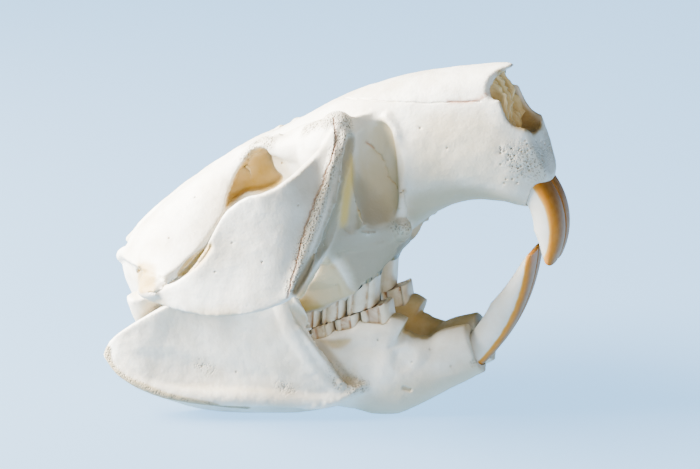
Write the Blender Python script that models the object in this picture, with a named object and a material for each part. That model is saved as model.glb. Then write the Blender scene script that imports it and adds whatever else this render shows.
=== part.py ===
"""A beaver skull standing on its lower jaw, at its real size.

The cranium, the two halves of the lower jaw, the four incisors and the sixteen
cheek teeth are separate pieces. The cranium is modelled in a frame of its own, in
which z = 0 is the biting plane of the upper cheek teeth and +X is the snout, and it
is then pitched nose up onto the lower jaw. The lower jaw is modelled where it stands.
Sizes are millimetres until a piece is placed. +X snout, +Y the animal's left, +Z up.
"""

import math

import bmesh
import bpy
import numpy as np
from mathutils import Matrix, Vector

MM = 0.001
PITCH = math.radians(22.6)  # nose up, biting plane against the ground
PIVOT_HEIGHT = 26.7  # the biting plane's height over x = 0, in the lower jaw's frame
STANDING_LEVEL = 1.0  # height in the jaw's frame of the ground, where its low places are cut flat
FORWARD_SHIFT = 3.57  # puts the middle of the skull's length over the origin
GAP = 0.35  # clearance between a tooth and its socket
MIDLINE_GAP = 0.2  # half the open suture between the two jaw halves
SEAM_WIDTH = 0.4  # the sutures that part the snout and the cheekbones from the braincase
SNOUT_SEAM = 38
CHEEK_SEAM = 31

CRANIUM_VOXEL = 0.9
CRANIUM_TRIANGLES = 4000
JAW_VOXEL = 0.8
JAW_TRIANGLES = 1050

# Heights of the five side points of a braincase or snout section, from floor to roof.
SECTION_LEVELS = (0.97, 0.8, 0.5, 0.22, 0.04)
# One section per row: place along the skull, roof, floor, half width at each level.
CASE_SECTIONS = (
    (-57, 33.5, 9, (8, 8, 7.5, 7, 6)),
    (-54.5, 38.4, 8.3, (10.5, 13.5, 12.5, 11.5, 9)),
    (-50, 41.6, 8.5, (11, 20, 19.5, 18, 13)),
    (-44, 43.8, 10, (10, 21, 27, 23.5, 13)),
    (-35, 46.8, 11, (9.5, 20, 25.5, 20.5, 11)),
    (-25, 50.4, 12, (9, 18, 23, 17, 9)),
    (-14, 53.1, 14, (9.5, 15.6, 18, 13, 8)),
    (-6, 54.2, 14, (11, 13, 12.5, 9.5, 7)),
    (8, 55.6, 12, (11, 12, 9, 8.5, 7)),
    (19, 57.4, 12, (11.5, 15.5, 13, 12, 8)),
    (30, 57.6, 17, (10.5, 15.2, 16.3, 14.5, 9)),
    (42, 56.7, 19.2, (9.8, 14.2, 16.3, 14.5, 8.5)),
    (54, 54.2, 16, (9.6, 13, 15.3, 13.5, 8.5)),
    (61, 52.4, 9.5, (9.4, 12.4, 13.8, 12, 8.6)),
    (66, 51.2, 12.5, (9, 11.8, 12.3, 10.6, 8)),
    (69.6, 49.8, 17, (7.8, 10, 10.2, 9.2, 7)),
)

# Cheek teeth, front to back: length, width, and the middle of the crown from the midline.
CHEEK_TEETH = (
    ("premolar", 9.0, 8.8, 9.0),
    ("molar_1", 7.3, 7.8, 10.2),
    ("molar_2", 6.9, 7.2, 11.4),
    ("molar_3", 6.3, 6.4, 12.4),
)
TOOTH_SPACING = 0.3
UPPER_ROW_FRONT = 12.0
LOWER_ROW_FRONT = 16.2
UPPER_LEAN = 4.4  # how far the hidden end of an upper crown stands in front of its biting end
LOWER_LEAN = 3.4  # and how far the biting end of a lower one stands in front of its hidden end

BONE = ("bone", (0.80, 0.77, 0.70), 0.55)
ENAMEL = ("incisor_enamel", (0.72, 0.36, 0.10), 0.3)
IVORY = ("cheek_tooth", (0.78, 0.70, 0.56), 0.4)


def clear_scene():
    for thing in list(bpy.data.objects):
        bpy.data.objects.remove(thing)


def material(finish):
    name, colour, roughness = finish
    made = bpy.data.materials.get(name) or bpy.data.materials.new(name)
    made.use_nodes = True
    shader = made.node_tree.nodes["Principled BSDF"]
    shader.inputs["Base Color"].default_value = (*colour, 1)
    shader.inputs["Roughness"].default_value = roughness
    shader.inputs["Metallic"].default_value = 0
    return made


def smooth_rows(rows, steps):
    """Rows of numbers with steps - 1 more between each two, on a smooth curve through them."""
    rows = np.array(rows, float)
    padded = np.vstack([2 * rows[0] - rows[1], rows, 2 * rows[-1] - rows[-2]])
    found = []
    for a, b, c, d in zip(padded, padded[1:], padded[2:], padded[3:]):
        for t in np.arange(steps) / steps:
            bend = (2 * a - 5 * b + 4 * c - d) * t**2 + (3 * b - a - 3 * c + d) * t**3
            found.append(b + ((c - a) * t + bend) / 2)
    found.append(rows[-1])
    return np.array(found)


def mirrored(point, side):
    return Vector((point[0], point[1] * side, point[2]))


def skin_rings(bm, rings):
    """Faces between rings of points, and a cap on the first and the last ring."""
    made = [[bm.verts.new(point) for point in ring] for ring in rings]
    count = len(made[0])
    for near, far in zip(made, made[1:]):
        for i in range(count):
            j = (i + 1) % count
            bm.faces.new((near[i], near[j], far[j], far[i]))
    bm.faces.new(made[0][::-1])
    bm.faces.new(made[-1])


def add_tube(bm, stations, sides=(1, -1), up=(0, 0, 1), steps=4, segments=14, square=2.0):
    """A limb through stations of x, y, z, half width, half height, on each side."""
    rows = smooth_rows(stations, steps)
    for side in sides:
        centres = [mirrored(row, side) for row in rows]
        rings = []
        for k, (centre, row) in enumerate(zip(centres, rows)):
            along = centres[min(k + 1, len(rows) - 1)] - centres[max(k - 1, 0)]
            across = along.cross(Vector(up)).normalized()
            upward = across.cross(along).normalized()
            ring = []
            for i in range(segments):
                angle = 2 * math.pi * i / segments
                c, s = math.cos(angle), math.sin(angle)
                c = math.copysign(abs(c) ** (2 / square), c)
                s = math.copysign(abs(s) ** (2 / square), s)
                ring.append(centre + across * (row[3] * c) + upward * (row[4] * s))
            rings.append(ring)
        skin_rings(bm, rings)


def add_blob(bm, centre, radii, sides=(1, -1), turn=0.0):
    """A rounded lump. turn tips it in the plane of X and Z, in degrees."""
    for side in sides:
        place = Matrix.Translation(mirrored(centre, side))
        place = place @ Matrix.Rotation(math.radians(turn), 4, "Y")
        place = place @ Matrix.Diagonal((*radii, 1))
        bmesh.ops.create_icosphere(bm, subdivisions=3, radius=1, matrix=place)


def add_ribbon(bm, upper, lower, bows, thicknesses, sides=(1, -1), steps=4, rows=9):
    """A plate of bone between two margins. Each bow is how far the middle of a rib
    stands off the straight line from the upper margin to the lower one."""
    ribs = [(*u, *w, *b, t) for u, w, b, t in zip(upper, lower, bows, thicknesses)]
    ribs = smooth_rows(ribs, steps)
    for side in sides:
        grid = []
        for rib in ribs:
            u, w, b = (mirrored(rib[i : i + 3], side) for i in (0, 3, 6))
            levels = [i / (rows - 1) for i in range(rows)]
            grid.append([u.lerp(w, t) + b * (4 * t * (1 - t)) for t in levels])
        loops = []
        for i, rib in enumerate(grid):
            outer, inner = [], []
            for j, point in enumerate(rib):
                along = grid[min(i + 1, len(grid) - 1)][j] - grid[max(i - 1, 0)][j]
                down = rib[min(j + 1, rows - 1)] - rib[max(j - 1, 0)]
                half = along.cross(down).normalized() * (ribs[i][9] / 2)
                outer.append(point + half)
                inner.append(point - half)
            loops.append(outer + inner[::-1])
        skin_rings(bm, loops)


def add_case(bm, sections):
    """The body of the skull, through whole sections, under a subdivided cage."""
    rings = []
    for x, roof, floor, widths in sections:
        half = [(w, floor + level * (roof - floor)) for w, level in zip(widths, SECTION_LEVELS)]
        ring = [(x, 0, roof)] + [(x, y, z) for y, z in half] + [(x, 0, floor)]
        ring += [(x, -y, z) for y, z in half[::-1]]
        rings.append([Vector(point) for point in ring])
    cage = bmesh.new()
    skin_rings(cage, rings)
    crease = cage.edges.layers.float.new("crease_edge")
    for edge in cage.edges:
        ends = {round(v.co.x, 3) for v in edge.verts}
        if ends == {sections[0][0]} or ends == {sections[-1][0]}:
            edge[crease] = 0.7
    mesh = bpy.data.meshes.new("case_cage")
    cage.to_mesh(mesh)
    cage.free()
    holder = bpy.data.objects.new("case_cage", mesh)
    bpy.context.scene.collection.objects.link(holder)
    rounding = holder.modifiers.new("rounding", "SUBSURF")
    rounding.levels = rounding.render_levels = 3
    merge_evaluated(bm, holder)
    bpy.data.objects.remove(holder)


def merge_evaluated(bm, holder):
    bpy.context.view_layer.update()
    seen = holder.evaluated_get(bpy.context.evaluated_depsgraph_get())
    bm.from_mesh(seen.to_mesh())
    seen.to_mesh_clear()


def helper(name, bm):
    """A hidden object that another piece is cut with. bm is in the piece's millimetres."""
    made = new_object(name, bm)
    made.hide_render = True
    made.display_type = "WIRE"
    return made


def new_object(name, bm):
    bmesh.ops.recalc_face_normals(bm, faces=bm.faces)
    mesh = bpy.data.meshes.new(name)
    bm.to_mesh(mesh)
    bm.free()
    made = bpy.data.objects.new(name, mesh)
    bpy.context.scene.collection.objects.link(made)
    return made


def apply_all(obj):
    """Puts what the modifiers make into the object's own mesh."""
    bpy.context.view_layer.update()
    seen = obj.evaluated_get(bpy.context.evaluated_depsgraph_get())
    old = obj.data
    obj.data = bpy.data.meshes.new_from_object(seen)
    obj.modifiers.clear()
    bpy.data.meshes.remove(old)


def remesh(obj, voxel, smoothing):
    made = obj.modifiers.new("one_skin", "REMESH")
    made.mode = "VOXEL"
    made.voxel_size = voxel
    relax = obj.modifiers.new("relax", "SMOOTH")
    relax.factor = 0.5
    relax.iterations = smoothing
    apply_all(obj)
    turn_outwards(obj)


def turn_outwards(obj):
    bm = bmesh.new()
    bm.from_mesh(obj.data)
    bmesh.ops.recalc_face_normals(bm, faces=bm.faces)
    bm.to_mesh(obj.data)
    bm.free()


def cut(obj, cutters):
    for cutter in cutters:
        made = obj.modifiers.new("cut_" + cutter.name, "BOOLEAN")
        made.operation = "DIFFERENCE"
        made.solver = "MANIFOLD"
        made.object = cutter
    apply_all(obj)


def thin_out(obj, triangles):
    obj.data.calc_loop_triangles()
    made = obj.modifiers.new("fewer_faces", "DECIMATE")
    made.ratio = triangles / len(obj.data.loop_triangles)
    made.use_symmetry = True
    made.symmetry_axis = "Y"
    apply_all(obj)


def loose_groups(bm):
    """The numbers of the points in each piece that hangs together."""
    bm.verts.ensure_lookup_table()
    left = set(bm.verts)
    groups = []
    while left:
        group, edge_of_group = set(), [left.pop()]
        while edge_of_group:
            vert = edge_of_group.pop()
            group.add(vert.index)
            near = [e.other_vert(vert) for e in vert.link_edges]
            fresh = [v for v in near if v in left]
            left.difference_update(fresh)
            edge_of_group += fresh
        groups.append(group)
    return groups


def keep_largest(obj):
    """Drops crumbs that a cut has left loose."""
    bm = bmesh.new()
    bm.from_mesh(obj.data)
    largest = max(loose_groups(bm), key=len)
    crumbs = [vert for vert in bm.verts if vert.index not in largest]
    bmesh.ops.delete(bm, geom=crumbs, context="VERTS")
    bm.to_mesh(obj.data)
    bm.free()


def finish(obj, finish_of, place):
    obj.data.transform(place)
    obj.data.materials.clear()
    obj.data.materials.append(material(finish_of))
    obj.data.shade_smooth()
    obj.data.set_sharp_from_angle(angle=math.radians(40))


def cranium_place():
    """From the cranium's own millimetres to the standing skull's metres."""
    lift = Matrix.Translation((FORWARD_SHIFT, 0, PIVOT_HEIGHT - STANDING_LEVEL))
    return Matrix.Scale(MM, 4) @ lift @ Matrix.Rotation(-PITCH, 4, "Y")


def jaw_place():
    return Matrix.Scale(MM, 4) @ Matrix.Translation((FORWARD_SHIFT, 0, -STANDING_LEVEL))


def add_arches(bm):
    """The cheekbones: front plate, broad outer plate and the root on the braincase."""
    add_ribbon(
        bm,
        upper=((35, 9, 51), (30.5, 13.2, 51.4), (28.2, 16, 52), (27, 18.6, 52.6), (26.3, 21, 52.8)),
        lower=((27, 11, 15), (17.5, 16, 17.5), (9, 24.5, 21), (7, 35, 18.4), (4.5, 46, 15.5)),
        bows=((3.5, 4.5, 0), (1.6, 2.4, 0), (2.6, 3, 0), (3.4, 2.6, 0), (4.6, 2, 0)),
        thicknesses=(3.5, 3.2, 3.2, 3, 3.4),
    )
    add_ribbon(
        bm,
        upper=((25.5, 21, 52.7), (19.7, 28, 48), (14.5, 38.5, 45), (8, 43.5, 43.8),
               (2.4, 45, 44.4), (-4, 46, 42.6), (-9, 46.7, 38.6), (-14, 46.8, 34.4),
               (-19.6, 46, 31.2), (-25, 44.5, 29.4), (-31, 42.3, 28.9)),
        lower=((4, 45.8, 15.5), (0.5, 46.4, 14.8), (-3, 46.9, 14.8), (-7, 47.2, 15.2),
               (-11, 47.1, 15.9), (-15, 46.8, 16.9), (-19, 46.2, 18), (-23, 45.2, 19.8),
               (-27.5, 43.8, 22), (-32, 42, 24.2), (-36.2, 40, 26.2)),
        bows=((4.2, 1.8, 0), (2.6, 1.9, 0), (1.5, 1.2, 0), (0.8, 0.6, 0), (0.4, 0.3, 0), (0.2, 0.2, 0),
              (0, 0.2, 0), (0, 0.3, 0), (0, 0.2, 0), (0, 0, 0), (0, 0, 0)),
        thicknesses=(3.2, 3, 2.8, 2.8, 2.8, 2.8, 2.8, 2.8, 3, 3, 2.8),
    )
    add_tube(bm, ((-35, 18, 31.5, 8, 3.8), (-36, 27, 31.5, 6, 3), (-36.5, 34, 30.2, 4.6, 2.6),
                  (-35.5, 39.5, 28.8, 3.6, 2.3), (-31, 42.6, 28.2, 2.8, 2)))
    # the braincase's broad side, from the crest on the roof to its sharp front edge
    add_ribbon(
        bm,
        upper=((-2, 10, 53), (-9, 9, 52.4), (-17, 7.6, 51.4), (-25, 6.6, 49.2), (-33, 6.4, 46.4),
               (-40, 8, 44), (-46, 12, 41), (-48.5, 20, 36.5)),
        lower=((-2.4, 12.4, 52.2), (-7, 13, 50), (-10.4, 15, 46.6), (-14.4, 18, 41.2),
               (-17.4, 21, 37.8), (-21.2, 26.5, 34.4), (-25.8, 33, 31.2), (-31, 38.5, 29.6)),
        bows=((0, 0, 0), (-0.4, 1, 0.4), (-1, 2, 1), (-1.6, 3.2, 1.8), (-2.2, 4.2, 2.6),
              (-2.2, 4.4, 3), (-1.6, 3.4, 2.6), (-0.8, 1.4, 0.8)),
        thicknesses=(2.4, 2.4, 2.4, 2.6, 2.8, 3, 3.2, 3.4),
    )
    # the front wall of the eye socket, and the root of the arch over the cheek teeth
    add_tube(bm, ((4, 9, 46, 3, 7), (11, 13, 46.5, 5, 8), (18, 17, 46.2, 7, 8.2),
                  (24, 18.6, 45.8, 6, 7.8)))
    add_tube(bm, ((-1.5, 11.5, 52.2, 1.6, 1.6), (3, 13, 51, 2.6, 2.6), (8, 14.6, 49.4, 3.6, 4),
                  (13, 16, 48.6, 4, 5)))
    add_tube(bm, ((15, 13, 20, 5, 5), (8, 19, 21.5, 5, 4), (4, 25, 23, 4.5, 4), (1, 32, 25, 3, 3)))
    add_blob(bm, (24.5, 19.6, 52.1), (4, 4.2, 3.4), turn=20)
    add_blob(bm, (28.4, 15, 18.8), (3.2, 2.4, 3.6), turn=25)


def add_upper_tooth_walls(bm):
    add_tube(bm, ((20, 7.5, 16, 4.2, 4.5), (14.5, 8.6, 14.4, 5.7, 6.6), (8, 9.4, 13.6, 6, 8.2),
                  (0, 10.4, 12.6, 6, 8.8), (-6, 11.2, 12.8, 5.8, 8.8), (-12, 12, 13.2, 5.3, 8.6),
                  (-19, 12.5, 15, 4, 7)), square=2.8)
    add_tube(bm, ((14, 10.5, 17, 5, 7), (6, 12.8, 17, 6.4, 7.5), (-3, 12.6, 18, 6, 7.5),
                  (-12, 11, 20, 5.5, 7), (-19, 10, 22, 4, 6)))


def add_skull_base(bm):
    """The ear capsules, the neck joint and the wings behind the palate."""
    add_blob(bm, (-40, 16.5, 15.5), (11, 8.8, 9.6), turn=-8)
    add_tube(bm, ((-40, 18, 20, 5, 5), (-40.5, 24, 25, 4, 4.2), (-41, 28.5, 28, 3.4, 3.6)))
    add_blob(bm, (-54.6, 7.8, 14.5), (4, 4, 6.2), turn=-25)
    add_tube(bm, ((-47.5, 18.5, 17, 4, 4), (-50, 20.5, 10.5, 2.6, 3.2), (-51, 21, 5.5, 1.6, 2)),
             up=(1, 0, 0))
    add_tube(bm, ((-45, 27.5, 27, 3.6, 4), (-46.5, 26, 20, 2.8, 3.6), (-47.5, 24.6, 14.5, 2, 2.4)),
             up=(1, 0, 0))
    add_tube(bm, ((-18, 0, 16.5, 8, 4), (-30, 0, 14.5, 9, 4), (-45, 0, 13, 10, 4.5),
                  (-59, 0, 11.5, 9, 4)), sides=(1,))
    add_ribbon(
        bm,
        upper=((-15, 6.5, 19), (-20, 6.5, 19), (-26, 7.5, 18), (-31, 9, 16)),
        lower=((-15.5, 6.3, 7), (-20, 6.4, 5.5), (-25, 7.4, 3.5), (-28, 8.6, 3)),
        bows=((0, 0, 0),) * 4,
        thicknesses=(2.6,) * 4,
    )
    add_ribbon(
        bm,
        upper=((-16, 11, 19), (-21, 13, 20), (-27, 15, 20)),
        lower=((-16, 11, 9), (-20, 12.5, 8.5), (-24, 14, 9.5)),
        bows=((0, 0, 0),) * 3,
        thicknesses=(2.4,) * 3,
    )


def add_crests(bm):
    """Ridges for the jaw and neck muscles, and the brow's corner."""
    add_tube(bm, ((-57.6, 0, 35.4, 1.8, 2), (-55.6, 8, 37, 1.8, 2), (-49.8, 16, 37.8, 2, 2),
                  (-44.6, 22.6, 36, 2, 2), (-41.4, 27, 31.5, 2, 2), (-41.4, 28.4, 26, 1.8, 1.8)),
             up=(1, 0, 0))
    add_tube(bm, ((-55, 1.5, 39, 1.6, 1.3), (-44, 2.2, 44.1, 1.8, 1.2), (-30, 4.6, 48.6, 2, 1.1),
                  (-15, 8, 52.2, 2, 1), (-4, 11, 53, 2, 1)))
    add_tube(bm, ((5, 11.5, 53, 1.6, 1.4), (0, 12.8, 52.2, 2, 1.8), (-5, 12.4, 50.8, 2, 2),
                  (-9, 12.6, 47.4, 2, 2)))


def cranium_hollows():
    """What is carved out before the skin is smoothed."""
    nose = bmesh.new()
    add_tube(nose, ((36, 0, 42, 5, 5), (48, 0, 41, 8.5, 8.5), (60, 0, 40, 10, 9.2),
                    (67, 0, 39.6, 10.6, 9.2), (76, 0, 39.6, 11, 9.4)),
             sides=(1,), square=2.6, segments=20)
    brow = bmesh.new()
    add_tube(brow, ((80, -20, 40, 14, 8.6), (80, 20, 40, 14, 8.6)), sides=(1,), square=3,
             segments=20, steps=1)
    corner = bmesh.new()
    add_tube(corner, ((75.2, 2.4, 49.5, 5, 7), (63.6, 18.6, 49.5, 5, 7)),
             square=4, segments=20, steps=1)
    fossa = bmesh.new()
    add_tube(fossa, ((35.5, 20, 50, 3.4, 2.4), (34.8, 20, 47.4, 6.6, 4.4), (33, 20, 41, 8.2, 5.6),
                     (31, 20.5, 34, 8.6, 5.8), (28.6, 21, 27, 7.6, 5), (27, 22.4, 20, 4.4, 3.6)),
             up=(1, 0, 0))
    neck = bmesh.new()
    add_tube(neck, ((-50, 0, 17, 5, 5), (-56, 0, 17.5, 6.6, 6), (-68, 0, 17.5, 7.2, 6.2)), sides=(1,))
    choana = bmesh.new()
    add_tube(choana, ((-8, 0, 11, 3, 2), (-16, 0, 10.5, 4.4, 4.6), (-26, 0, 9, 5, 6.5),
                      (-34, 0, 5, 5, 6)), sides=(1,))
    ear = bmesh.new()
    add_tube(ear, ((-40.3, 23, 24, 1.8, 1.8), (-41.3, 34, 32, 2, 2)), steps=2)
    named = (("nose_opening", nose), ("front_border", brow), ("nasal_corner", corner),
             ("masseter_fossa", fossa), ("foramen_magnum", neck),
             ("choana", choana), ("ear_canal", ear))
    return [helper(name, bm) for name, bm in named]


def incisor_rings(centre, outer, depth, width, start, end, bevel, tip_depth, grow=0.0):
    """A tooth bent round centre, a point of X and Z. It runs from the angle start in
    the bone to the angle end at its tip, and is worn to a chisel over its last part."""
    steps = 10
    rings = []
    over = math.copysign(math.degrees(grow / outer) * 2, end - start)
    for k in range(steps + 1):
        done = k / steps
        angle = math.radians(start - over + (end - start + 2 * over) * done)
        worn = min(1.0, (1 - done) / bevel)
        root = 1 - min(1.0, done / ROOT_LENGTH)
        deep = (tip_depth + (depth - tip_depth) * worn) * (1 - ROOT_THINNING * root) + 2 * grow
        r = outer - ROOT_SET_IN * root + grow
        inner = r - deep
        mid = TOOTH_FROM_MIDLINE + ROOT_SET_IN * root - grow
        far = TOOTH_FROM_MIDLINE + width * (1 - ROOT_NARROWING * root) + grow
        wide = far - mid
        profile = ((mid, inner + 0.1 * deep), (mid, r - 0.12 * deep), (mid + 0.14 * wide, r),
                   (mid + 0.62 * wide, r - 0.02 * deep), (far - 0.1 * wide, r - 0.16 * deep),
                   (far, r - 0.42 * deep), (far - 0.06 * wide, inner + 0.22 * deep),
                   (far - 0.3 * wide, inner), (mid + 0.2 * wide, inner))
        c, s = math.cos(angle), math.sin(angle)
        rings.append([Vector((centre[0] + reach * c, y, centre[1] + reach * s)) for y, reach in profile])
    return rings


ROOT_LENGTH = 0.25  # share of an incisor, from its hidden end, over which it narrows
ROOT_SET_IN = 2.2  # how much deeper, and further from the midline, that end lies
ROOT_NARROWING = 0.2
ROOT_THINNING = 0.5
TOOTH_FROM_MIDLINE = 0.35
UPPER_INCISOR = dict(centre=(47.7, 11), outer=21.3, depth=7.6, width=8.3, start=78, end=-48,
                     bevel=0.2, tip_depth=1.4)
LOWER_INCISOR = dict(centre=(2, 51), outer=51.7, depth=8.2, width=7.8, start=-56, end=-2.5,
                     bevel=0.4, tip_depth=1.2)


def incisor(name, shape, side, grow=0.0):
    bm = bmesh.new()
    rings = [[mirrored(p, side) for p in ring] for ring in incisor_rings(**shape, grow=grow)]
    skin_rings(bm, rings)
    return new_object(name, bm)


def cheek_tooth(name, middle, length, width, low, high, lean, side, grow=0.0):
    """One crown with its fluted sides. middle is its place in X and Y on the biting
    plane, low and high its ends, and lean how far its high end stands forward."""
    bm = bmesh.new()
    half_l, half_w = length / 2 + grow, width / 2 + grow
    outline = ((1, 0.55), (1, -0.55), (0.64, -1), (-0.66, -1), (-1, -0.6), (-1, 0.6), (-0.66, 1), (0.64, 1))
    if not grow:
        outer_flutes = ((0.3, -0.9), (0, -1), (-0.35, -0.9))
        outline = outline[:3] + outer_flutes + outline[3:7] + ((0, 0.9),) + outline[7:]
    rings = []
    for z, swell in ((low - grow, 0.97), (high + grow, 1.0)):
        swell = 1.0 if grow else swell
        shift = lean * (z - low) / (high - low)
        ring = [(middle[0] + shift + half_l * swell * u, middle[1] + half_w * swell * v, z)
                for u, v in outline]
        rings.append([mirrored(point, side) for point in ring])
    skin_rings(bm, rings)
    return new_object(name, bm)


def upper_row(side, grow=0.0):
    front = UPPER_ROW_FRONT
    made = []
    for kind, length, width, out in CHEEK_TEETH:
        middle = (front - length / 2, out)
        name = f"upper_{kind}_" + ("left" if side > 0 else "right")
        made.append(cheek_tooth(name, middle, length, width, 0.9, 14.5, UPPER_LEAN, side, grow))
        front -= length + TOOTH_SPACING
    return made


def lower_row(side, grow=0.0):
    """The lower crowns stand on the slope of the biting plane, in the jaw's frame."""
    front = LOWER_ROW_FRONT - LOWER_LEAN
    made = []
    tip = Matrix.Translation((0, 0, PIVOT_HEIGHT)) @ Matrix.Rotation(-PITCH, 4, "Y")
    for kind, length, width, out in CHEEK_TEETH:
        middle = (front - length / 2, out + 0.6)
        name = f"lower_{kind}_" + ("left" if side > 0 else "right")
        tooth = cheek_tooth(name, middle, length, width, -13.5, 0.4, LOWER_LEAN, side, grow)
        tooth.data.transform(tip)
        made.append(tooth)
        front -= length + TOOTH_SPACING
    return made


def build_cranium():
    bm = bmesh.new()
    add_case(bm, CASE_SECTIONS)
    add_arches(bm)
    add_upper_tooth_walls(bm)
    add_skull_base(bm)
    add_crests(bm)
    skull = new_object("whole_skull", bm)
    remesh(skull, CRANIUM_VOXEL, 2)
    hollows = cranium_hollows()
    cut(skull, hollows)
    remesh(skull, CRANIUM_VOXEL, 3)
    keep_largest(skull)
    thin_out(skull, CRANIUM_TRIANGLES)
    sockets = []
    for side in (1, -1):
        sockets.append(incisor("upper_incisor_socket", UPPER_INCISOR, side, GAP))
        sockets += upper_row(side, GAP)
    seams = suture_seams()
    cut(skull, sockets + seams)
    for tool in hollows + sockets + seams:
        bpy.data.objects.remove(tool)
    for bone in part_at_seams(skull):
        finish(bone, BONE, cranium_place())


def suture_seams():
    """Thin slabs along the seams between the braincase, the snout and the cheekbones."""
    snout = bmesh.new()
    bmesh.ops.create_cube(snout, size=1, matrix=Matrix.Translation((SNOUT_SEAM, 0, 35))
                          @ Matrix.Diagonal((SEAM_WIDTH, 60, 80, 1)))
    cheeks = bmesh.new()
    for side in (1, -1):
        bmesh.ops.create_cube(cheeks, size=1, matrix=Matrix.Translation((-5, side * CHEEK_SEAM, 35))
                              @ Matrix.Diagonal((90, SEAM_WIDTH, 60, 1)))
    return [helper("snout_seam", snout), helper("cheek_seams", cheeks)]


def part_at_seams(skull):
    """Splits the skull into its bones, and drops crumbs that a cut has left loose."""
    bm = bmesh.new()
    bm.from_mesh(skull.data)
    groups = sorted(loose_groups(bm), key=len)[-4:]
    bm.free()
    bones = []
    for group in groups:
        places = [skull.data.vertices[i].co for i in group]
        middle = sum(places, Vector()) / len(places)
        name = "cranium"
        if middle.x > SNOUT_SEAM:
            name = "snout"
        elif abs(middle.y) > CHEEK_SEAM:
            name = "cheekbone_left" if middle.y > 0 else "cheekbone_right"
        bones.append((name, group))
    made = []
    for name, group in bones:
        bm = bmesh.new()
        bm.from_mesh(skull.data)
        bm.verts.ensure_lookup_table()
        others = [vert for vert in bm.verts if vert.index not in group]
        bmesh.ops.delete(bm, geom=others, context="VERTS")
        made.append(new_object(name, bm))
    bpy.data.objects.remove(skull)
    return made


def build_upper_teeth():
    for side, word in ((1, "left"), (-1, "right")):
        tooth = incisor("upper_incisor_" + word, UPPER_INCISOR, side)
        finish(tooth, ENAMEL, cranium_place())
        for crown in upper_row(side):
            finish(crown, IVORY, cranium_place())


def add_jaw_forms(bm, side):
    """One half of the lower jaw: body, tooth wall, upright branch and angle."""
    only = (side,)
    add_tube(bm, ((37.8, 5.4, 22, 5.1, 8.6), (31, 5.7, 19.4, 5.5, 9.8), (24, 6.7, 14.4, 6.4, 9),
                  (17, 7.8, 12.5, 7.4, 11.9), (10, 9.4, 13.3, 7.2, 13.1), (3, 11, 12.8, 6.6, 11.2),
                  (-5, 13, 11.8, 6.2, 9.2), (-14, 16.6, 11.4, 5.4, 7), (-24, 20.4, 13.6, 4.2, 7.6)),
             sides=only, square=2.4, segments=18)
    add_tube(bm, ((16.8, 9.4, 21.6, 4.6, 7.4), (14, 9.6, 22.4, 5.4, 7.2), (8, 10.2, 21.2, 5.8, 7),
                  (0, 11.4, 18.8, 5.6, 6), (-8, 12.8, 15.8, 5.4, 5.4), (-16, 14, 12.6, 5, 5)),
             sides=only, square=2.8)
    add_ribbon(
        bm,
        upper=((-11, 26.2, 40), (-14, 26, 50), (-19.5, 26, 55), (-24.5, 26, 50), (-28, 25.8, 41.5),
               (-34, 26, 35.5), (-40, 27.4, 34), (-47, 31, 30.5), (-54, 32.8, 26), (-59, 32.6, 21.6)),
        lower=((6, 17, 8), (-1, 20, 4.6), (-10, 23, 5), (-19, 25.4, 5), (-28, 28, 5.5),
               (-36, 30.5, 6.6), (-44, 33, 8.4), (-51, 34, 11.2), (-57, 33.6, 14.8), (-60.6, 32.6, 18)),
        bows=((-0.6, 1.2, 0), (0, 0.8, 0), (0, 0, 0), (0, -0.5, 0), (0, -1, 0), (0, -1, 0),
              (0, -0.6, 0), (0, 0, 0), (0, 0, 0), (0, 0, 0)),
        thicknesses=(4.2, 3.6, 3, 2.8, 2.8, 2.8, 2.8, 2.8, 2.8, 2.4),
        sides=only,
    )
    add_blob(bm, (-38.6, 26.6, 34.2), (4.6, 4.4, 3.6), sides=only)
    # the masseter's ridge, from the branch's front edge down to its rough end
    add_tube(bm, ((-12.6, 26.4, 40, 1.6, 1.8), (-10.4, 26, 31, 1.8, 2), (-6.6, 24.4, 22.5, 2, 2.2),
                  (-2.8, 22.4, 15.6, 2.2, 2.4), (1.6, 20, 9.6, 2.4, 2.6), (6, 17.6, 7.8, 2.2, 2.4)),
             sides=only, up=(1, 0, 0))
    # the lower edge and the shelf that it rests on
    add_tube(bm, ((8, 16.6, 10, 2.2, 2.2), (3.6, 19, 8, 2.4, 2.4), (-2, 21, 6.6, 2.6, 2.6),
                  (-10, 23.6, 7, 2.6, 2.6), (-20, 26.6, 7.4, 2.6, 2.6), (-31, 30, 7.6, 2.4, 2.4),
                  (-43, 33, 9, 2.2, 2.2), (-53, 34, 12.8, 2, 2), (-59.8, 32.8, 18.4, 1.6, 1.8)),
             sides=only)
    add_ribbon(
        bm,
        upper=((2, 17, 6.6), (-8, 21, 6), (-18, 25.5, 6), (-28, 28.6, 6.4), (-38, 31, 7.4),
               (-48, 32.4, 10.4), (-56, 32, 15)),
        lower=((2, 14, 5), (-8, 16.4, 2.6), (-18, 18.2, 1.6), (-28, 20, 1.4), (-38, 23.4, 3),
               (-47, 27.5, 6.8), (-55, 30.4, 13)),
        bows=((0, -0.5, -0.8),) * 7,
        thicknesses=(3, 3, 2.8, 2.8, 2.6, 2.4, 2.2),
        sides=only,
    )


def floor_and_midline_trim():
    """Blocks that make the jaw's small flats on the ground and its face at the midline."""
    reach = 200
    flat, middle = bmesh.new(), bmesh.new()
    under = Matrix.Translation((0, 0, STANDING_LEVEL - reach / 2))
    bmesh.ops.create_cube(flat, size=reach, matrix=under)
    bmesh.ops.create_cube(middle, size=1, matrix=Matrix.Diagonal((reach, 2 * MIDLINE_GAP, reach, 1)))
    return [helper("ground", flat), helper("midline", middle)]


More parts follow.
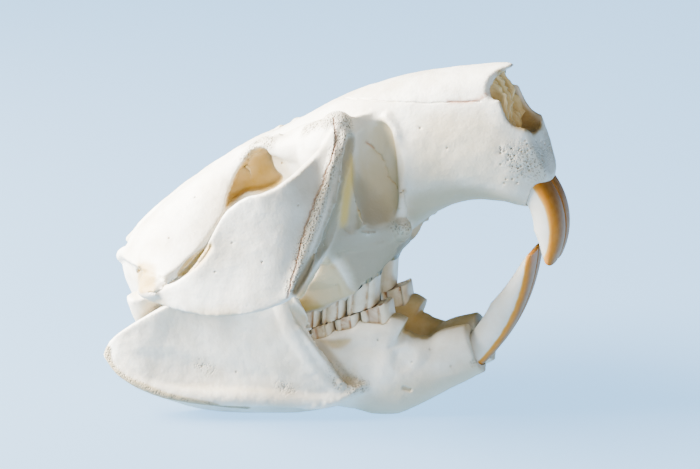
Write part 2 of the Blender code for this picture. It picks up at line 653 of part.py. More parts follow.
def build_jaw_half(side, word):
    bm = bmesh.new()
    add_jaw_forms(bm, side)
    jaw = new_object("mandible_" + word, bm)
    remesh(jaw, JAW_VOXEL, 4)
    thin_out(jaw, JAW_TRIANGLES)
    tools = floor_and_midline_trim()
    tools.append(incisor("lower_incisor_socket", LOWER_INCISOR, side, GAP))
    tools += lower_row(side, GAP)
    cut(jaw, tools)
    for tool in tools:
        bpy.data.objects.remove(tool)
    keep_largest(jaw)
    finish(jaw, BONE, jaw_place())


def build_lower_teeth():
    for side, word in ((1, "left"), (-1, "right")):
        tooth = incisor("lower_incisor_" + word, LOWER_INCISOR, side)
        finish(tooth, ENAMEL, jaw_place())
        for crown in lower_row(side):
            finish(crown, IVORY, jaw_place())


def main():
    clear_scene()
    build_cranium()
    build_upper_teeth()
    for side, word in ((1, "left"), (-1, "right")):
        build_jaw_half(side, word)
    build_lower_teeth()


main()
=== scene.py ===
"""The beaver skull's looks: bone, teeth, floor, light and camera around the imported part.

The bones are shaped again here, finer, from the same limbs and plates as the solids.
They are skinned over in one piece, hollowed out, and then carved along lines that are
given as they are seen from the photograph's side, in pixels of its 700 x 469 frame.
Every line is found on the bone itself before it is carved, and what both sides of the
animal share is carved on both. Sizes are millimetres until a piece is placed.
"""

import math

import bpy
import numpy as np
from mathutils import Matrix, Vector
from mathutils.bvhtree import BVHTree


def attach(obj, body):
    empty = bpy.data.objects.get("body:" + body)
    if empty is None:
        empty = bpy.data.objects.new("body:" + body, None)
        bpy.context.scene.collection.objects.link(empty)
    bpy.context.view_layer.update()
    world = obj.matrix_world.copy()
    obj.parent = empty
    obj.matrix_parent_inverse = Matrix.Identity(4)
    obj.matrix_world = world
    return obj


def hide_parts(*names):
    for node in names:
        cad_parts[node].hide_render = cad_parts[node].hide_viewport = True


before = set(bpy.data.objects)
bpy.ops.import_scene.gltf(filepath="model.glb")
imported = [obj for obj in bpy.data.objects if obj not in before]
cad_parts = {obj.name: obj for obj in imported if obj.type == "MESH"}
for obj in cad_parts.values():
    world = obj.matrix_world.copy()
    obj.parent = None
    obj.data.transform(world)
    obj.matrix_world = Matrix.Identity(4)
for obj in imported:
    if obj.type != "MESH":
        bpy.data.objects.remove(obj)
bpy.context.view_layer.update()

MM = 0.001
PITCH = math.radians(22.6)  # the cranium's tilt, nose up
BITE_HEIGHT = 25.7  # of the biting plane over the ground, at x = 0
JAW_DROP = 1.0  # how far the jaw sinks into the ground before its flats are cut
FORWARD = 3.57  # brings the skull's middle over x = 0

FRAME_WIDTH, FRAME_HEIGHT = 700, 469
LENS, SENSOR = 129.6, 36
CAMERA_TURN, CAMERA_RISE = math.radians(17), math.radians(15)
CAMERA_DISTANCE = 0.7
CAMERA_AIM = Vector((FORWARD * MM, 0, 0.0473))

UPPER = (Matrix.Scale(MM, 4) @ Matrix.Translation((FORWARD, 0, BITE_HEIGHT))
         @ Matrix.Rotation(-PITCH, 4, "Y"))
LOWER = Matrix.Scale(MM, 4) @ Matrix.Translation((FORWARD, 0, -JAW_DROP))
BITE_IN_JAW = Matrix.Translation((0, 0, BITE_HEIGHT + JAW_DROP)) @ Matrix.Rotation(-PITCH, 4, "Y")

SKULL_VOXEL, JAW_VOXEL = 0.5 * MM, 0.45 * MM
SKULL_TRIANGLES, JAW_TRIANGLES = 195000, 150000
WELD = 1e-6


def add_camera():
    """The photograph's viewpoint: from the snout's side, a little above."""
    back = Vector((math.sin(CAMERA_TURN) * math.cos(CAMERA_RISE),
                   -math.cos(CAMERA_TURN) * math.cos(CAMERA_RISE), math.sin(CAMERA_RISE)))
    turn = (-back).to_track_quat("-Z", "Y")
    bpy.ops.object.camera_add(location=CAMERA_AIM + back * CAMERA_DISTANCE, rotation=turn.to_euler())
    camera = bpy.context.object
    camera.data.lens = LENS
    camera.data.sensor_width = SENSOR
    camera.data.clip_start = 0.01
    bpy.context.scene.camera = camera
    return camera.location.copy(), turn.to_matrix()


EYE, EYE_TURN = add_camera()


def clear_selection():
    if bpy.context.mode != "OBJECT":
        bpy.ops.object.mode_set(mode="OBJECT")
    bpy.ops.object.select_all(action="DESELECT")


def pick(*objects):
    clear_selection()
    for thing in objects:
        thing.select_set(True)
    bpy.context.view_layer.objects.active = objects[0]


def edit_all(obj, change, **settings):
    """Runs one of the mesh operators on the whole of a piece."""
    pick(obj)
    bpy.ops.object.mode_set(mode="EDIT")
    bpy.ops.mesh.select_all(action="SELECT")
    change(**settings)
    bpy.ops.object.mode_set(mode="OBJECT")


def face_outwards(obj):
    edit_all(obj, bpy.ops.mesh.normals_make_consistent, inside=False)


def smooth_rows(rows, steps):
    """Rows of numbers with steps - 1 more between each two, on a smooth curve through them."""
    rows = np.array(rows, float)
    padded = np.vstack([2 * rows[0] - rows[1], rows, 2 * rows[-1] - rows[-2]])
    found = []
    for a, b, c, d in zip(padded, padded[1:], padded[2:], padded[3:]):
        for t in np.arange(steps) / steps:
            bend = (2 * a - 5 * b + 4 * c - d) * t**2 + (3 * b - a - 3 * c + d) * t**3
            found.append(b + ((c - a) * t + bend) / 2)
    found.append(rows[-1])
    return np.array(found)


def mirrored(point, side):
    return Vector((point[0], point[1] * side, point[2]))


def skin(rings, place):
    """A closed limb: a flat grid rolled through rings of points, its seam welded and its ends filled."""
    rows, count = len(rings), len(rings[0])
    clear_selection()
    bpy.ops.mesh.primitive_grid_add(x_subdivisions=count, y_subdivisions=rows - 1, size=1)
    made = bpy.context.object
    points = [place @ Vector(p) for ring in rings for p in [*ring, ring[0]]]
    made.data.vertices.foreach_set("co", np.array(points, np.float32).ravel())
    edit_all(made, bpy.ops.mesh.remove_doubles, threshold=WELD)
    edit_all(made, bpy.ops.mesh.fill_holes, sides=0)
    face_outwards(made)
    return made


def limb(stations, place=UPPER, sides=(1, -1), up=(0, 0, 1), steps=6, segments=24, square=2.0):
    """A limb through stations of x, y, z, half width, half height, on each side."""
    rows = smooth_rows(stations, steps)
    made = []
    for side in sides:
        centres = [mirrored(row, side) for row in rows]
        rings = []
        for k, (centre, row) in enumerate(zip(centres, rows)):
            along = centres[min(k + 1, len(rows) - 1)] - centres[max(k - 1, 0)]
            across = along.cross(Vector(up)).normalized()
            upward = across.cross(along).normalized()
            ring = []
            for i in range(segments):
                angle = 2 * math.pi * i / segments
                c, s = math.cos(angle), math.sin(angle)
                c = math.copysign(abs(c) ** (2 / square), c)
                s = math.copysign(abs(s) ** (2 / square), s)
                ring.append(centre + across * (row[3] * c) + upward * (row[4] * s))
            rings.append(ring)
        made.append(skin(rings, place))
    return made


def lump(centre, radii, place=UPPER, sides=(1, -1), turn=0.0):
    """A rounded swelling. turn tips it in the plane of X and Z, in degrees."""
    made = []
    for side in sides:
        clear_selection()
        bpy.ops.mesh.primitive_uv_sphere_add(segments=32, ring_count=20, radius=1)
        shape = Matrix.Translation(mirrored(centre, side))
        shape = shape @ Matrix.Rotation(math.radians(turn), 4, "Y") @ Matrix.Diagonal((*radii, 1))
        bpy.context.object.data.transform(place @ shape)
        made.append(bpy.context.object)
    return made


def plate(upper, lower, thicknesses, bows=None, place=UPPER, sides=(1, -1), steps=6, rows=17):
    """A plate of bone between two margins. Each bow is how far the middle of a rib
    stands off the straight line from the upper margin to the lower one."""
    bows = bows or ((0, 0, 0),) * len(upper)
    ribs = [(*u, *w, *b, t) for u, w, b, t in zip(upper, lower, bows, thicknesses)]
    ribs = smooth_rows(ribs, steps)
    made = []
    for side in sides:
        grid = []
        for rib in ribs:
            u, w, b = (mirrored(rib[i : i + 3], side) for i in (0, 3, 6))
            levels = [i / (rows - 1) for i in range(rows)]
            grid.append([u.lerp(w, t) + b * (4 * t * (1 - t)) for t in levels])
        loops = []
        for i, rib in enumerate(grid):
            outer, inner = [], []
            for j, point in enumerate(rib):
                along = grid[min(i + 1, len(grid) - 1)][j] - grid[max(i - 1, 0)][j]
                down = rib[min(j + 1, rows - 1)] - rib[max(j - 1, 0)]
                half = along.cross(down).normalized() * (ribs[i][9] / 2)
                outer.append(point + half)
                inner.append(point - half)
            loops.append(outer + inner[::-1])
        made.append(skin(loops, place))
    return made


def add_modifier(obj, kind, **settings):
    """A modifier that is set, then applied."""
    pick(obj)
    made = obj.modifiers.new(kind.lower(), kind)
    for name, value in settings.items():
        setattr(made, name, value)
    bpy.ops.object.modifier_apply(modifier=made.name)


def join(parts, name):
    pick(*parts)
    bpy.ops.object.join()
    made = bpy.context.object
    made.name = made.data.name = name
    return made


def one_skin(obj, voxel, smoothing):
    """Turns overlapping shapes into one smooth surface."""
    add_modifier(obj, "REMESH", mode="VOXEL", voxel_size=voxel)
    add_modifier(obj, "SMOOTH", factor=0.5, iterations=smoothing)
    face_outwards(obj)


def cut(obj, tools):
    for tool in tools:
        add_modifier(obj, "BOOLEAN", operation="DIFFERENCE", solver="MANIFOLD", object=tool)
    pick(*tools)
    bpy.ops.object.delete()


def weathered(obj):
    """Slow undulations and fine unevenness over a bone."""
    for name, scale, height in (("bone_swells", 7, 0.42), ("bone_dimples", 2.2, 0.15)):
        clouds = bpy.data.textures.new(name, "CLOUDS")
        clouds.noise_scale = scale * MM
        clouds.noise_depth = 2
        add_modifier(obj, "DISPLACE", texture=clouds, strength=height * MM, mid_level=0.5)


def keep_largest(obj):
    """Drops crumbs that a cut has left loose."""
    edit_all(obj, bpy.ops.mesh.separate, type="LOOSE")
    parts = sorted(bpy.context.selected_objects, key=lambda part: len(part.data.vertices))
    name = obj.name
    for crumb in parts[:-1]:
        bpy.data.objects.remove(crumb)
    parts[-1].name = parts[-1].data.name = name
    return parts[-1]


def thin_out(obj, triangles):
    obj.data.calc_loop_triangles()
    count = len(obj.data.loop_triangles)
    if count > triangles:
        add_modifier(obj, "DECIMATE", ratio=triangles / count)


# The braincase and snout, one section per row: place along the skull, roof, floor, and the
# half width at each of five levels from the roof down.
SECTION_LEVELS = (0.97, 0.8, 0.5, 0.22, 0.04)
CASE_SECTIONS = (
    (-57, 33.5, 9, (8, 8, 7.5, 7, 6)),
    (-54.5, 38.4, 8.3, (10.5, 13.5, 12.5, 11.5, 9)),
    (-50, 41.6, 8.5, (11, 20, 19.5, 18, 13)),
    (-44, 43.8, 10, (10, 21, 27, 23.5, 13)),
    (-35, 46.8, 11, (9.5, 20, 25.5, 20.5, 11)),
    (-25, 50.4, 12, (9, 18, 23, 17, 9)),
    (-14, 53.1, 14, (9.5, 15.6, 18, 13, 8)),
    (-6, 54.2, 14, (11, 12.2, 9.6, 8.6, 7)),
    (8, 55.6, 12, (11, 12, 9, 8.5, 7)),
    (19, 57.4, 12, (11.5, 15.5, 13, 12, 8)),
    (30, 57.6, 17, (10.5, 15.2, 16.3, 14.5, 9)),
    (42, 56.7, 19.2, (9.8, 14.2, 16.3, 14.5, 8.5)),
    (54, 54.2, 16, (9.6, 13, 15.3, 13.5, 8.5)),
    (61, 52.4, 9.5, (9.4, 12.4, 13.8, 12, 8.6)),
    (66, 51.2, 12.5, (9, 11.8, 12.3, 10.6, 8)),
    (69.6, 49.8, 17, (7.8, 10, 10.2, 9.2, 7)),
)


END_CREASE = 0.7  # how sharp the two ends of the case stay
CASE_SMOOTHNESS = 4


def skull_case():
    rings = []
    for x, roof, floor, widths in CASE_SECTIONS:
        half = [(w, floor + level * (roof - floor)) for w, level in zip(widths, SECTION_LEVELS)]
        ring = [(x, 0, roof)] + [(x, y, z) for y, z in half] + [(x, 0, floor)]
        ring += [(x, -y, z) for y, z in half[::-1]]
        rings.append(ring)
    made = skin(rings, UPPER)
    ends = [set(face.vertices) for face in made.data.polygons if len(face.vertices) > 4]
    creases = made.data.attributes.new("crease_edge", "FLOAT", "EDGE")
    for edge in made.data.edges:
        if any(set(edge.vertices) <= end for end in ends):
            creases.data[edge.index].value = END_CREASE
    add_modifier(made, "SUBSURF", levels=CASE_SMOOTHNESS, render_levels=CASE_SMOOTHNESS)
    return [made]


def cheekbones():
    """The arches: front plate, broad outer plate, and the root on the braincase."""
    made = plate(
        upper=((35, 9, 51), (30.5, 13.2, 51.4), (28.2, 16, 52), (27, 18.6, 52.6), (26.3, 21, 52.8)),
        lower=((27, 11, 15), (17.5, 16, 17.5), (9, 24.5, 21), (7, 35, 18.4), (4.5, 46, 15.5)),
        bows=((3.5, 4.5, 0), (1.6, 2.4, 0), (2.6, 3, 0), (3.4, 2.6, 0), (4.6, 2, 0)),
        thicknesses=(3.5, 3.2, 3.2, 3, 3.4),
    )
    made += plate(
        upper=((25.5, 21, 52.7), (19.7, 28, 48), (14.5, 38.5, 45), (8, 43.5, 43.8),
               (2.4, 45, 44.4), (-4, 46, 42.6), (-9, 46.7, 38.6), (-14, 46.8, 34.4),
               (-19.6, 46, 31.2), (-25, 44.5, 29.4), (-31, 42.3, 28.9)),
        lower=((4, 45.8, 15.5), (0.5, 46.4, 14.8), (-3, 46.9, 14.8), (-7, 47.2, 15.2),
               (-11, 47.1, 15.9), (-15, 46.8, 16.9), (-19, 46.2, 18), (-23, 45.2, 19.8),
               (-27.5, 43.8, 22), (-32, 42, 24.2), (-36.2, 40, 26.2)),
        bows=((4.2, 1.8, 0), (2.6, 1.9, 0), (1.5, 1.2, 0), (0.8, 0.6, 0), (0.4, 0.3, 0), (0.2, 0.2, 0),
              (0, 0.2, 0), (0, 0.3, 0), (0, 0.2, 0), (0, 0, 0), (0, 0, 0)),
        thicknesses=(3.2, 3, 2.8, 2.8, 2.8, 2.8, 2.8, 2.8, 3, 3, 2.8),
    )
    made += limb(((-35, 18, 31.5, 8, 3.8), (-36, 27, 31.5, 6, 3), (-36.5, 34, 30.2, 4.6, 2.6),
                  (-35.5, 39.5, 28.8, 3.6, 2.3), (-31, 42.6, 28.2, 2.8, 2)))
    made += plate(
        upper=((-2, 10, 53), (-9, 9, 52.4), (-17, 7.6, 51.4), (-25, 6.6, 49.2), (-33, 6.4, 46.4),
               (-40, 8, 44), (-46, 12, 41), (-48.5, 20, 36.5)),
        lower=((-2.4, 12.4, 52.2), (-7, 13, 50), (-10.4, 15, 46.6), (-14.4, 18, 41.2), (-17.4, 21, 37.8),
               (-21.2, 26.5, 34.4), (-25.8, 33, 31.2), (-31, 38.5, 29.6)),
        bows=((0, 0, 0), (-0.4, 1, 0.4), (-1, 2, 1), (-1.6, 3.2, 1.8), (-2.2, 4.2, 2.6),
              (-2.2, 4.4, 3), (-1.6, 3.4, 2.6), (-0.8, 1.4, 0.8)),
        thicknesses=(2.4, 2.4, 2.4, 2.6, 2.8, 3, 3.2, 3.4),
    )
    # the front wall of the eye socket, and the root of the arch over the cheek teeth
    made += limb(((4, 9, 46, 3, 7), (11, 13, 46.5, 5, 8), (18, 17, 46.2, 7, 8.2),
                  (24, 18.6, 45.8, 6, 7.8)))
    made += limb(((-1.5, 11.5, 52.2, 1.6, 1.6), (3, 13, 51, 2.6, 2.6), (8, 14.6, 49.4, 3.6, 4),
                  (13, 16, 48.6, 4, 5)))
    made += limb(((15, 13, 20, 5, 5), (8, 19, 21.5, 5, 4), (4, 25, 23, 4.5, 4), (1, 32, 25, 3, 3)))
    made += limb(((28, 14, 47, 5, 5), (27, 15.4, 41, 5.6, 5.4), (25.4, 16.4, 34, 5.8, 5.4),
                  (23, 17, 27, 5.4, 5), (20, 17, 22, 4.6, 4)), up=(1, 0, 0))
    made += plate(
        upper=((10, 18.6, 21), (17, 16.6, 19.6), (23, 14.8, 18.4), (28, 13, 17.6)),
        lower=((5, 12.8, 6.4), (10.4, 12.3, 7.6), (16, 11.6, 9.6), (21.4, 10.6, 12.8)),
        bows=((0, 0.9, 0), (0, 0.6, 0), (0, 0.4, 0), (0, 0.2, 0)),
        thicknesses=(4, 4, 4, 3.6),
    )
    made += lump((24.5, 19.6, 52.1), (4, 4.2, 3.4), turn=20)
    made += lump((28.4, 15, 18.8), (3.2, 2.4, 3.6), turn=25)
    return made


def upper_tooth_walls():
    made = limb(((20, 7.5, 16, 4.2, 4.5), (14.5, 8.6, 14.4, 5.7, 6.6), (8, 9.4, 13.6, 6, 8.2),
                 (0, 10.4, 12.6, 6, 8.8), (-6, 11.2, 12.8, 5.8, 8.8), (-12, 12, 13.2, 5.3, 8.6),
                 (-19, 12.5, 15, 4, 7)), square=2.8)
    made += limb(((14, 10.5, 17, 5, 7), (6, 12.8, 17, 6.4, 7.5), (-3, 12.6, 18, 6, 7.5),
                  (-12, 11, 20, 5.5, 7), (-19, 10, 22, 4, 6)))
    return made


def skull_base():
    """The ear capsules, the neck joint and the wings behind the palate."""
    made = lump((-40, 16.5, 15.5), (11, 8.8, 9.6), turn=-8)
    made += limb(((-40, 18, 20, 5, 5), (-40.5, 24, 25, 4, 4.2), (-41, 28.5, 28, 3.4, 3.6)))
    made += lump((-54.6, 7.8, 14.5), (4, 4, 6.2), turn=-25)
    made += limb(((-47.5, 18.5, 17, 4, 4), (-50, 20.5, 10.5, 2.6, 3.2), (-51, 21, 5.5, 1.6, 2)),
                 up=(1, 0, 0))
    made += limb(((-45, 27.5, 27, 3.6, 4), (-46.5, 26, 20, 2.8, 3.6), (-47.5, 24.6, 14.5, 2, 2.4)),
                 up=(1, 0, 0))
    made += limb(((-18, 0, 16.5, 8, 4), (-30, 0, 14.5, 9, 4), (-45, 0, 13, 10, 4.5),
                  (-59, 0, 11.5, 9, 4)), sides=(1,))
    made += plate(
        upper=((-15, 6.5, 19), (-20, 6.5, 19), (-26, 7.5, 18), (-31, 9, 16)),
        lower=((-15.5, 6.3, 7), (-20, 6.4, 5.5), (-25, 7.4, 3.5), (-28, 8.6, 3)),
        thicknesses=(2.2,) * 4,
    )
    made += plate(
        upper=((-16, 11, 19), (-21, 13, 20), (-27, 15, 20)),
        lower=((-16, 11, 9), (-20, 12.5, 8.5), (-24, 14, 9.5)),
        thicknesses=(2,) * 3,
    )
    return made


def crests():
    """Ridges for the jaw and neck muscles, and the brow's corner."""
    made = limb(((-56, 0, 34.6, 2, 2.8), (-54.4, 8, 36.2, 2, 2.6), (-49.4, 16, 37.6, 2, 2.2),
                 (-44.6, 22.6, 36, 2, 2), (-41.4, 27, 31.5, 2, 2), (-41.4, 28.4, 26, 1.8, 1.8)),
                up=(1, 0, 0))
    made += limb(((-55, 1.5, 39, 1.6, 1.3), (-44, 2.2, 44.1, 1.8, 1.2), (-30, 4.6, 48.6, 2, 1.1),
                  (-15, 8, 52.2, 2, 1), (-4, 11, 53, 2, 1)))
    made += limb(((5, 11.5, 53, 1.6, 1.4), (0, 12.8, 52.2, 2, 1.8), (-5, 12.4, 50.8, 2, 2),
                  (-9, 12.6, 47.4, 2, 2)))
    return made


def skull_hollows():
    one = dict(sides=(1,), segments=40)
    made = limb(((36, 0, 42, 5, 5), (48, 0, 41, 8.5, 8.5), (60, 0, 40, 10, 9.2),
                 (67, 0, 39.6, 10.6, 9.2), (76, 0, 39.6, 11, 9.4)), square=2.6, **one)
    made += limb(((80, -20, 40, 14, 8.6), (80, 20, 40, 14, 8.6)), square=3, steps=1, **one)
    made += limb(((75.2, 2.4, 49.5, 5, 7), (63.6, 18.6, 49.5, 5, 7)), square=4, steps=1, segments=40)
    made += limb(((35, 20, 50, 3.4, 2.8), (34, 20, 47.4, 6.6, 5), (31.9, 20, 41, 8.2, 6.4),
                  (29.8, 20.5, 34, 8.6, 6.6), (27.4, 21, 27, 7.4, 5.6), (25.6, 22.4, 20, 4, 3.8)),
                 up=(1, 0, 0))
    made += limb(((-50, 0, 17, 5, 5), (-56, 0, 17.5, 6.6, 6), (-68, 0, 17.5, 7.2, 6.2)), **one)
    made += limb(((-8, 0, 11, 3, 2), (-16, 0, 10.5, 4.4, 4.6), (-26, 0, 9, 5, 6.5),
                  (-34, 0, 5, 5, 6)), **one)
    made += limb(((-40.3, 23, 24, 1.8, 1.8), (-41.3, 34, 32, 2, 2)), steps=2)
    made += limb(((-41.4, 38, 31, 1.7, 4), (-42, 27, 30, 1.6, 3.8), (-42.2, 22, 29.6, 1.2, 3)),
                 up=(-0.25, 0, 1), steps=3)
    return made


# Cheek teeth, front to back: length, width, and the middle of the crown from the midline.
CHEEK_TEETH = (
    ("premolar", 9.0, 8.8, 9.0),
    ("molar_1", 7.3, 7.8, 10.2),
    ("molar_2", 6.9, 7.2, 11.4),
    ("molar_3", 6.3, 6.4, 12.4),
)
TOOTH_SPACING = 0.3
# Each row: its frame, its front, how far a tooth leans forward, the heights of its hidden
# end and of its bite, and how much further out it stands.
TOOTH_ROWS = {
    "upper": (UPPER, 12.0, 6.4, 14.5, 0.9, 0.0),
    "lower": (LOWER @ BITE_IN_JAW, 12.8, 3.4, -13.5, 0.4, 0.6),
}
TOOTH_SEED = 20
GUM_CRACK = 0.22  # the open line between a tooth and its socket

ROOT_LENGTH = 0.25  # share of an incisor, from its hidden end, over which it narrows
ROOT_SET_IN = 2.2
ROOT_NARROWING = 0.2
ROOT_THINNING = 0.5
TOOTH_FROM_MIDLINE = 0.35
TIP_CURVE = 0.7  # under 1 rounds the worn face
# The outline across the tooth, from the midline's side round its front: shares of its width,
# and of its depth behind the front.
INCISOR_OUTLINE = ((0, 0.9), (0, 0.12), (0.14, 0), (0.62, 0.02), (0.9, 0.16), (1, 0.42),
                   (0.94, 0.78), (0.7, 1), (0.2, 1))
UPPER_INCISOR = dict(centre=(47.7, 11), outer=21.3, depth=7.6, width=8.3, start=78, end=-48,
                     bevel=0.2, tip_depth=2.6)
LOWER_INCISOR = dict(centre=(2, 51), outer=51.7, depth=8.2, width=7.8, start=-56, end=-2.5,
                     bevel=0.4, tip_depth=1.2)
UPPER_ENAMEL, LOWER_ENAMEL = 0.36, 0.2  # reach round the side, as a share of the depth
BARE_DEPTH = 4.4  # how much of a tooth's front half stands out of the bone
SQUARE_TIP = 0.01
SIDE_CLEARANCE, END_CLEARANCE = 1.5, 1.1


def incisor(name, shape, side, place, grow=0.0, steps=40):
    """A gnawing tooth bent round its centre, from the angle start in the bone to its chisel tip."""
    centre, outer, depth, width = (shape[k] for k in ("centre", "outer", "depth", "width"))
    start, end = shape["start"], shape["end"]
    over = math.copysign(math.degrees(grow / outer) * 2, end - start)
    rings = []
    for k in range(steps + 1):
        done = k / steps
        angle = math.radians(start - over + (end - start + 2 * over) * done)
        worn = min(1.0, (1 - done) / shape["bevel"]) ** TIP_CURVE
        root = 1 - min(1.0, done / ROOT_LENGTH)
        deep = (shape["tip_depth"] + (depth - shape["tip_depth"]) * worn) * (1 - ROOT_THINNING * root)
        deep += 2 * grow
        front = outer - ROOT_SET_IN * root + grow
        mid = TOOTH_FROM_MIDLINE + ROOT_SET_IN * root - grow
        far = TOOTH_FROM_MIDLINE + width * (1 - ROOT_NARROWING * root) + grow
        corners = [(mid + out * (far - mid), front - back * deep) for out, back in INCISOR_OUTLINE]
        c, s = math.cos(angle), math.sin(angle)
        rings.append([mirrored((centre[0] + reach * c, y, centre[1] + reach * s), side)
                      for y, reach in round_off(corners, 5)])
    made = skin(rings, place)
    made.name = made.data.name = name
    spots = [place.inverted() @ v.co for v in made.data.vertices]
    reaches = [math.hypot(p.x - centre[0], p.z - centre[1]) for p in spots]
    note(made, "depth", [(outer - reach) / depth for reach in reaches])
    return made


def round_off(corners, steps):
    """A closed outline through its corners, rounded."""
    looped = [*corners[-2:], *corners, *corners[:2]]
    return smooth_rows(looped, steps)[2 * steps : -2 * steps - 1]


def note(piece, name, values):
    """A number for every point of a piece, for its material to read."""
    layer = piece.data.attributes.new(name, "FLOAT", "POINT")
    layer.data.foreach_set("value", np.array(values, np.float32))


# The folds in a cheek tooth's outer and inner side, by their places along it.
FOLDS = {"upper": ((-0.5, 0.0, 0.48), (0.1,)), "lower": ((-0.3, 0.35), (-0.5, 0.0, 0.5))}
FOLD_WIDTH = 0.17
FOLD_DEPTH = 0.2
FOLD_STAIN = 1.0
CROWN_SIDES = 88
CROWN_LEVELS = 9
CROWN_SQUARENESS = 0.45
CROWN_TAPER = 0.04
RIDGES = (-0.72, -0.28, 0.2, 0.66)  # across the biting face
RIDGE_WANDER = 0.05
RIDGE_WIDTH = 0.2
RIDGE_SLANT = 0.12
CUSP_HEIGHT = 0.5
RIM_HEIGHT = 0.5  # as a share of the tallest ridge
HOLLOW_STAIN = 0.9
BITE_STAIN = 0.35
CAP_STEPS = (0.95, 0.86, 0.74, 0.6, 0.45, 0.3, 0.15, 0.04)


def crown_outline(outer_folds, inner_folds):
    """Points round a cheek tooth, from -1 to 1 along and across it, and how deep in a fold each is."""
    points = []
    for i in range(CROWN_SIDES):
        angle = 2 * math.pi * (i + 0.5) / CROWN_SIDES
        u, v = (math.copysign(abs(t) ** CROWN_SQUARENESS, t) for t in (math.cos(angle), math.sin(angle)))
        folds = outer_folds if v > 0 else inner_folds
        fold = max([0.0] + [1 - (abs(u - at) / FOLD_WIDTH) ** 1.4 for at in folds])
        fold *= min(1, abs(v) ** 3)
        points.append((u, v * (1 - FOLD_DEPTH * fold), fold))
    return points


def crown(name, kind, middle, length, width, root, bite, lean, side, place, seed, grow=0.0):
    """A cheek tooth from its hidden root end to its folded biting face."""
    outline = crown_outline(*(((), ()) if grow else FOLDS[kind]))
    half_l, half_w = length / 2 + grow, width / 2 + grow
    draws = np.random.default_rng(seed)
    up = 1 if bite > root else -1
    root, bite = root - up * grow, bite + up * grow
    ridges = np.array(RIDGES) + draws.uniform(-RIDGE_WANDER, RIDGE_WANDER, len(RIDGES))
    tall = draws.uniform(0.6, 1, len(RIDGES))
    rings, stains = [], []
    levels = 2 if grow else CROWN_LEVELS
    for k in range(levels):
        z = root + (bite - root) * k / (levels - 1)
        shift = lean * (z - min(root, bite)) / abs(bite - root)
        swell = 1 - CROWN_TAPER * k / levels
        rings.append([(middle[0] + shift + half_l * swell * u, middle[1] + half_w * swell * v, z)
                      for u, v, _ in outline])
        near_bite = BITE_STAIN * max(0, 3 * k / levels - 2) if kind == "lower" else 0
        stains += [min(1, fold * (k / levels) * FOLD_STAIN + near_bite) for _, _, fold in outline]
    shift = lean if up > 0 else 0
    for scale in () if grow else CAP_STEPS:
        ring = []
        for u, v, fold in outline:
            u, v = u * scale, v * scale
            ridge = max(t * (1 - min(1, abs(u - at - RIDGE_SLANT * v) / RIDGE_WIDTH))
                        for t, at in zip(tall, ridges))
            rise = max(ridge, RIM_HEIGHT if scale == CAP_STEPS[0] else 0)
            z = bite + up * (CUSP_HEIGHT * rise - 0.2 * CUSP_HEIGHT)
            ring.append((middle[0] + shift + half_l * u, middle[1] + half_w * v, z))
            stains.append(HOLLOW_STAIN - HOLLOW_STAIN * rise)
        rings.append(ring)
    rings = [[mirrored(point, side) for point in ring] for ring in rings]
    made = skin(rings, place)
    made.name = made.data.name = name
    if not grow:
        note(made, "stain", stains)
    return made


def tooth_row(kind, side, grow=0.0):
    """Four cheek teeth of one side, upper or lower."""
    place, front, lean, root, bite, further_out = TOOTH_ROWS[kind]
    word = "left" if side > 0 else "right"
    made = []
    for i, (tooth, length, width, out) in enumerate(CHEEK_TEETH):
        middle = (front - length / 2, out + further_out)
        made.append(crown(f"{kind}_{tooth}_crown_{word}", kind, middle, length, width,
                          root, bite, lean, side, place, TOOTH_SEED + i, grow))
        front -= length + TOOTH_SPACING
    return made


def incisor_sockets(shape, side, place, side_bare_from, end_bare_from):
    """Cuts for a gnawing tooth: its socket, and the bone that stands back from its side and end."""
    beside = {**shape, "start": side_bare_from, "depth": BARE_DEPTH, "bevel": SQUARE_TIP}
    before = {**shape, "start": end_bare_from, "bevel": SQUARE_TIP}
    return [incisor("socket", form, side, place, grow) for form, grow in (
        (shape, GUM_CRACK), (beside, SIDE_CLEARANCE), (before, END_CLEARANCE))]


def shape_cranium():
    made = join(skull_case() + cheekbones() + upper_tooth_walls() + skull_base() + crests(),
                "cranium_bone")
    one_skin(made, SKULL_VOXEL, 3)
    cut(made, skull_hollows())
    one_skin(made, SKULL_VOXEL, 4)
    weathered(made)
    sockets = []
    for side in (1, -1):
        sockets += tooth_row("upper", side, GUM_CRACK)
        sockets += incisor_sockets(UPPER_INCISOR, side, UPPER, 18, -6)
    cut(made, sockets)
    return keep_largest(made)


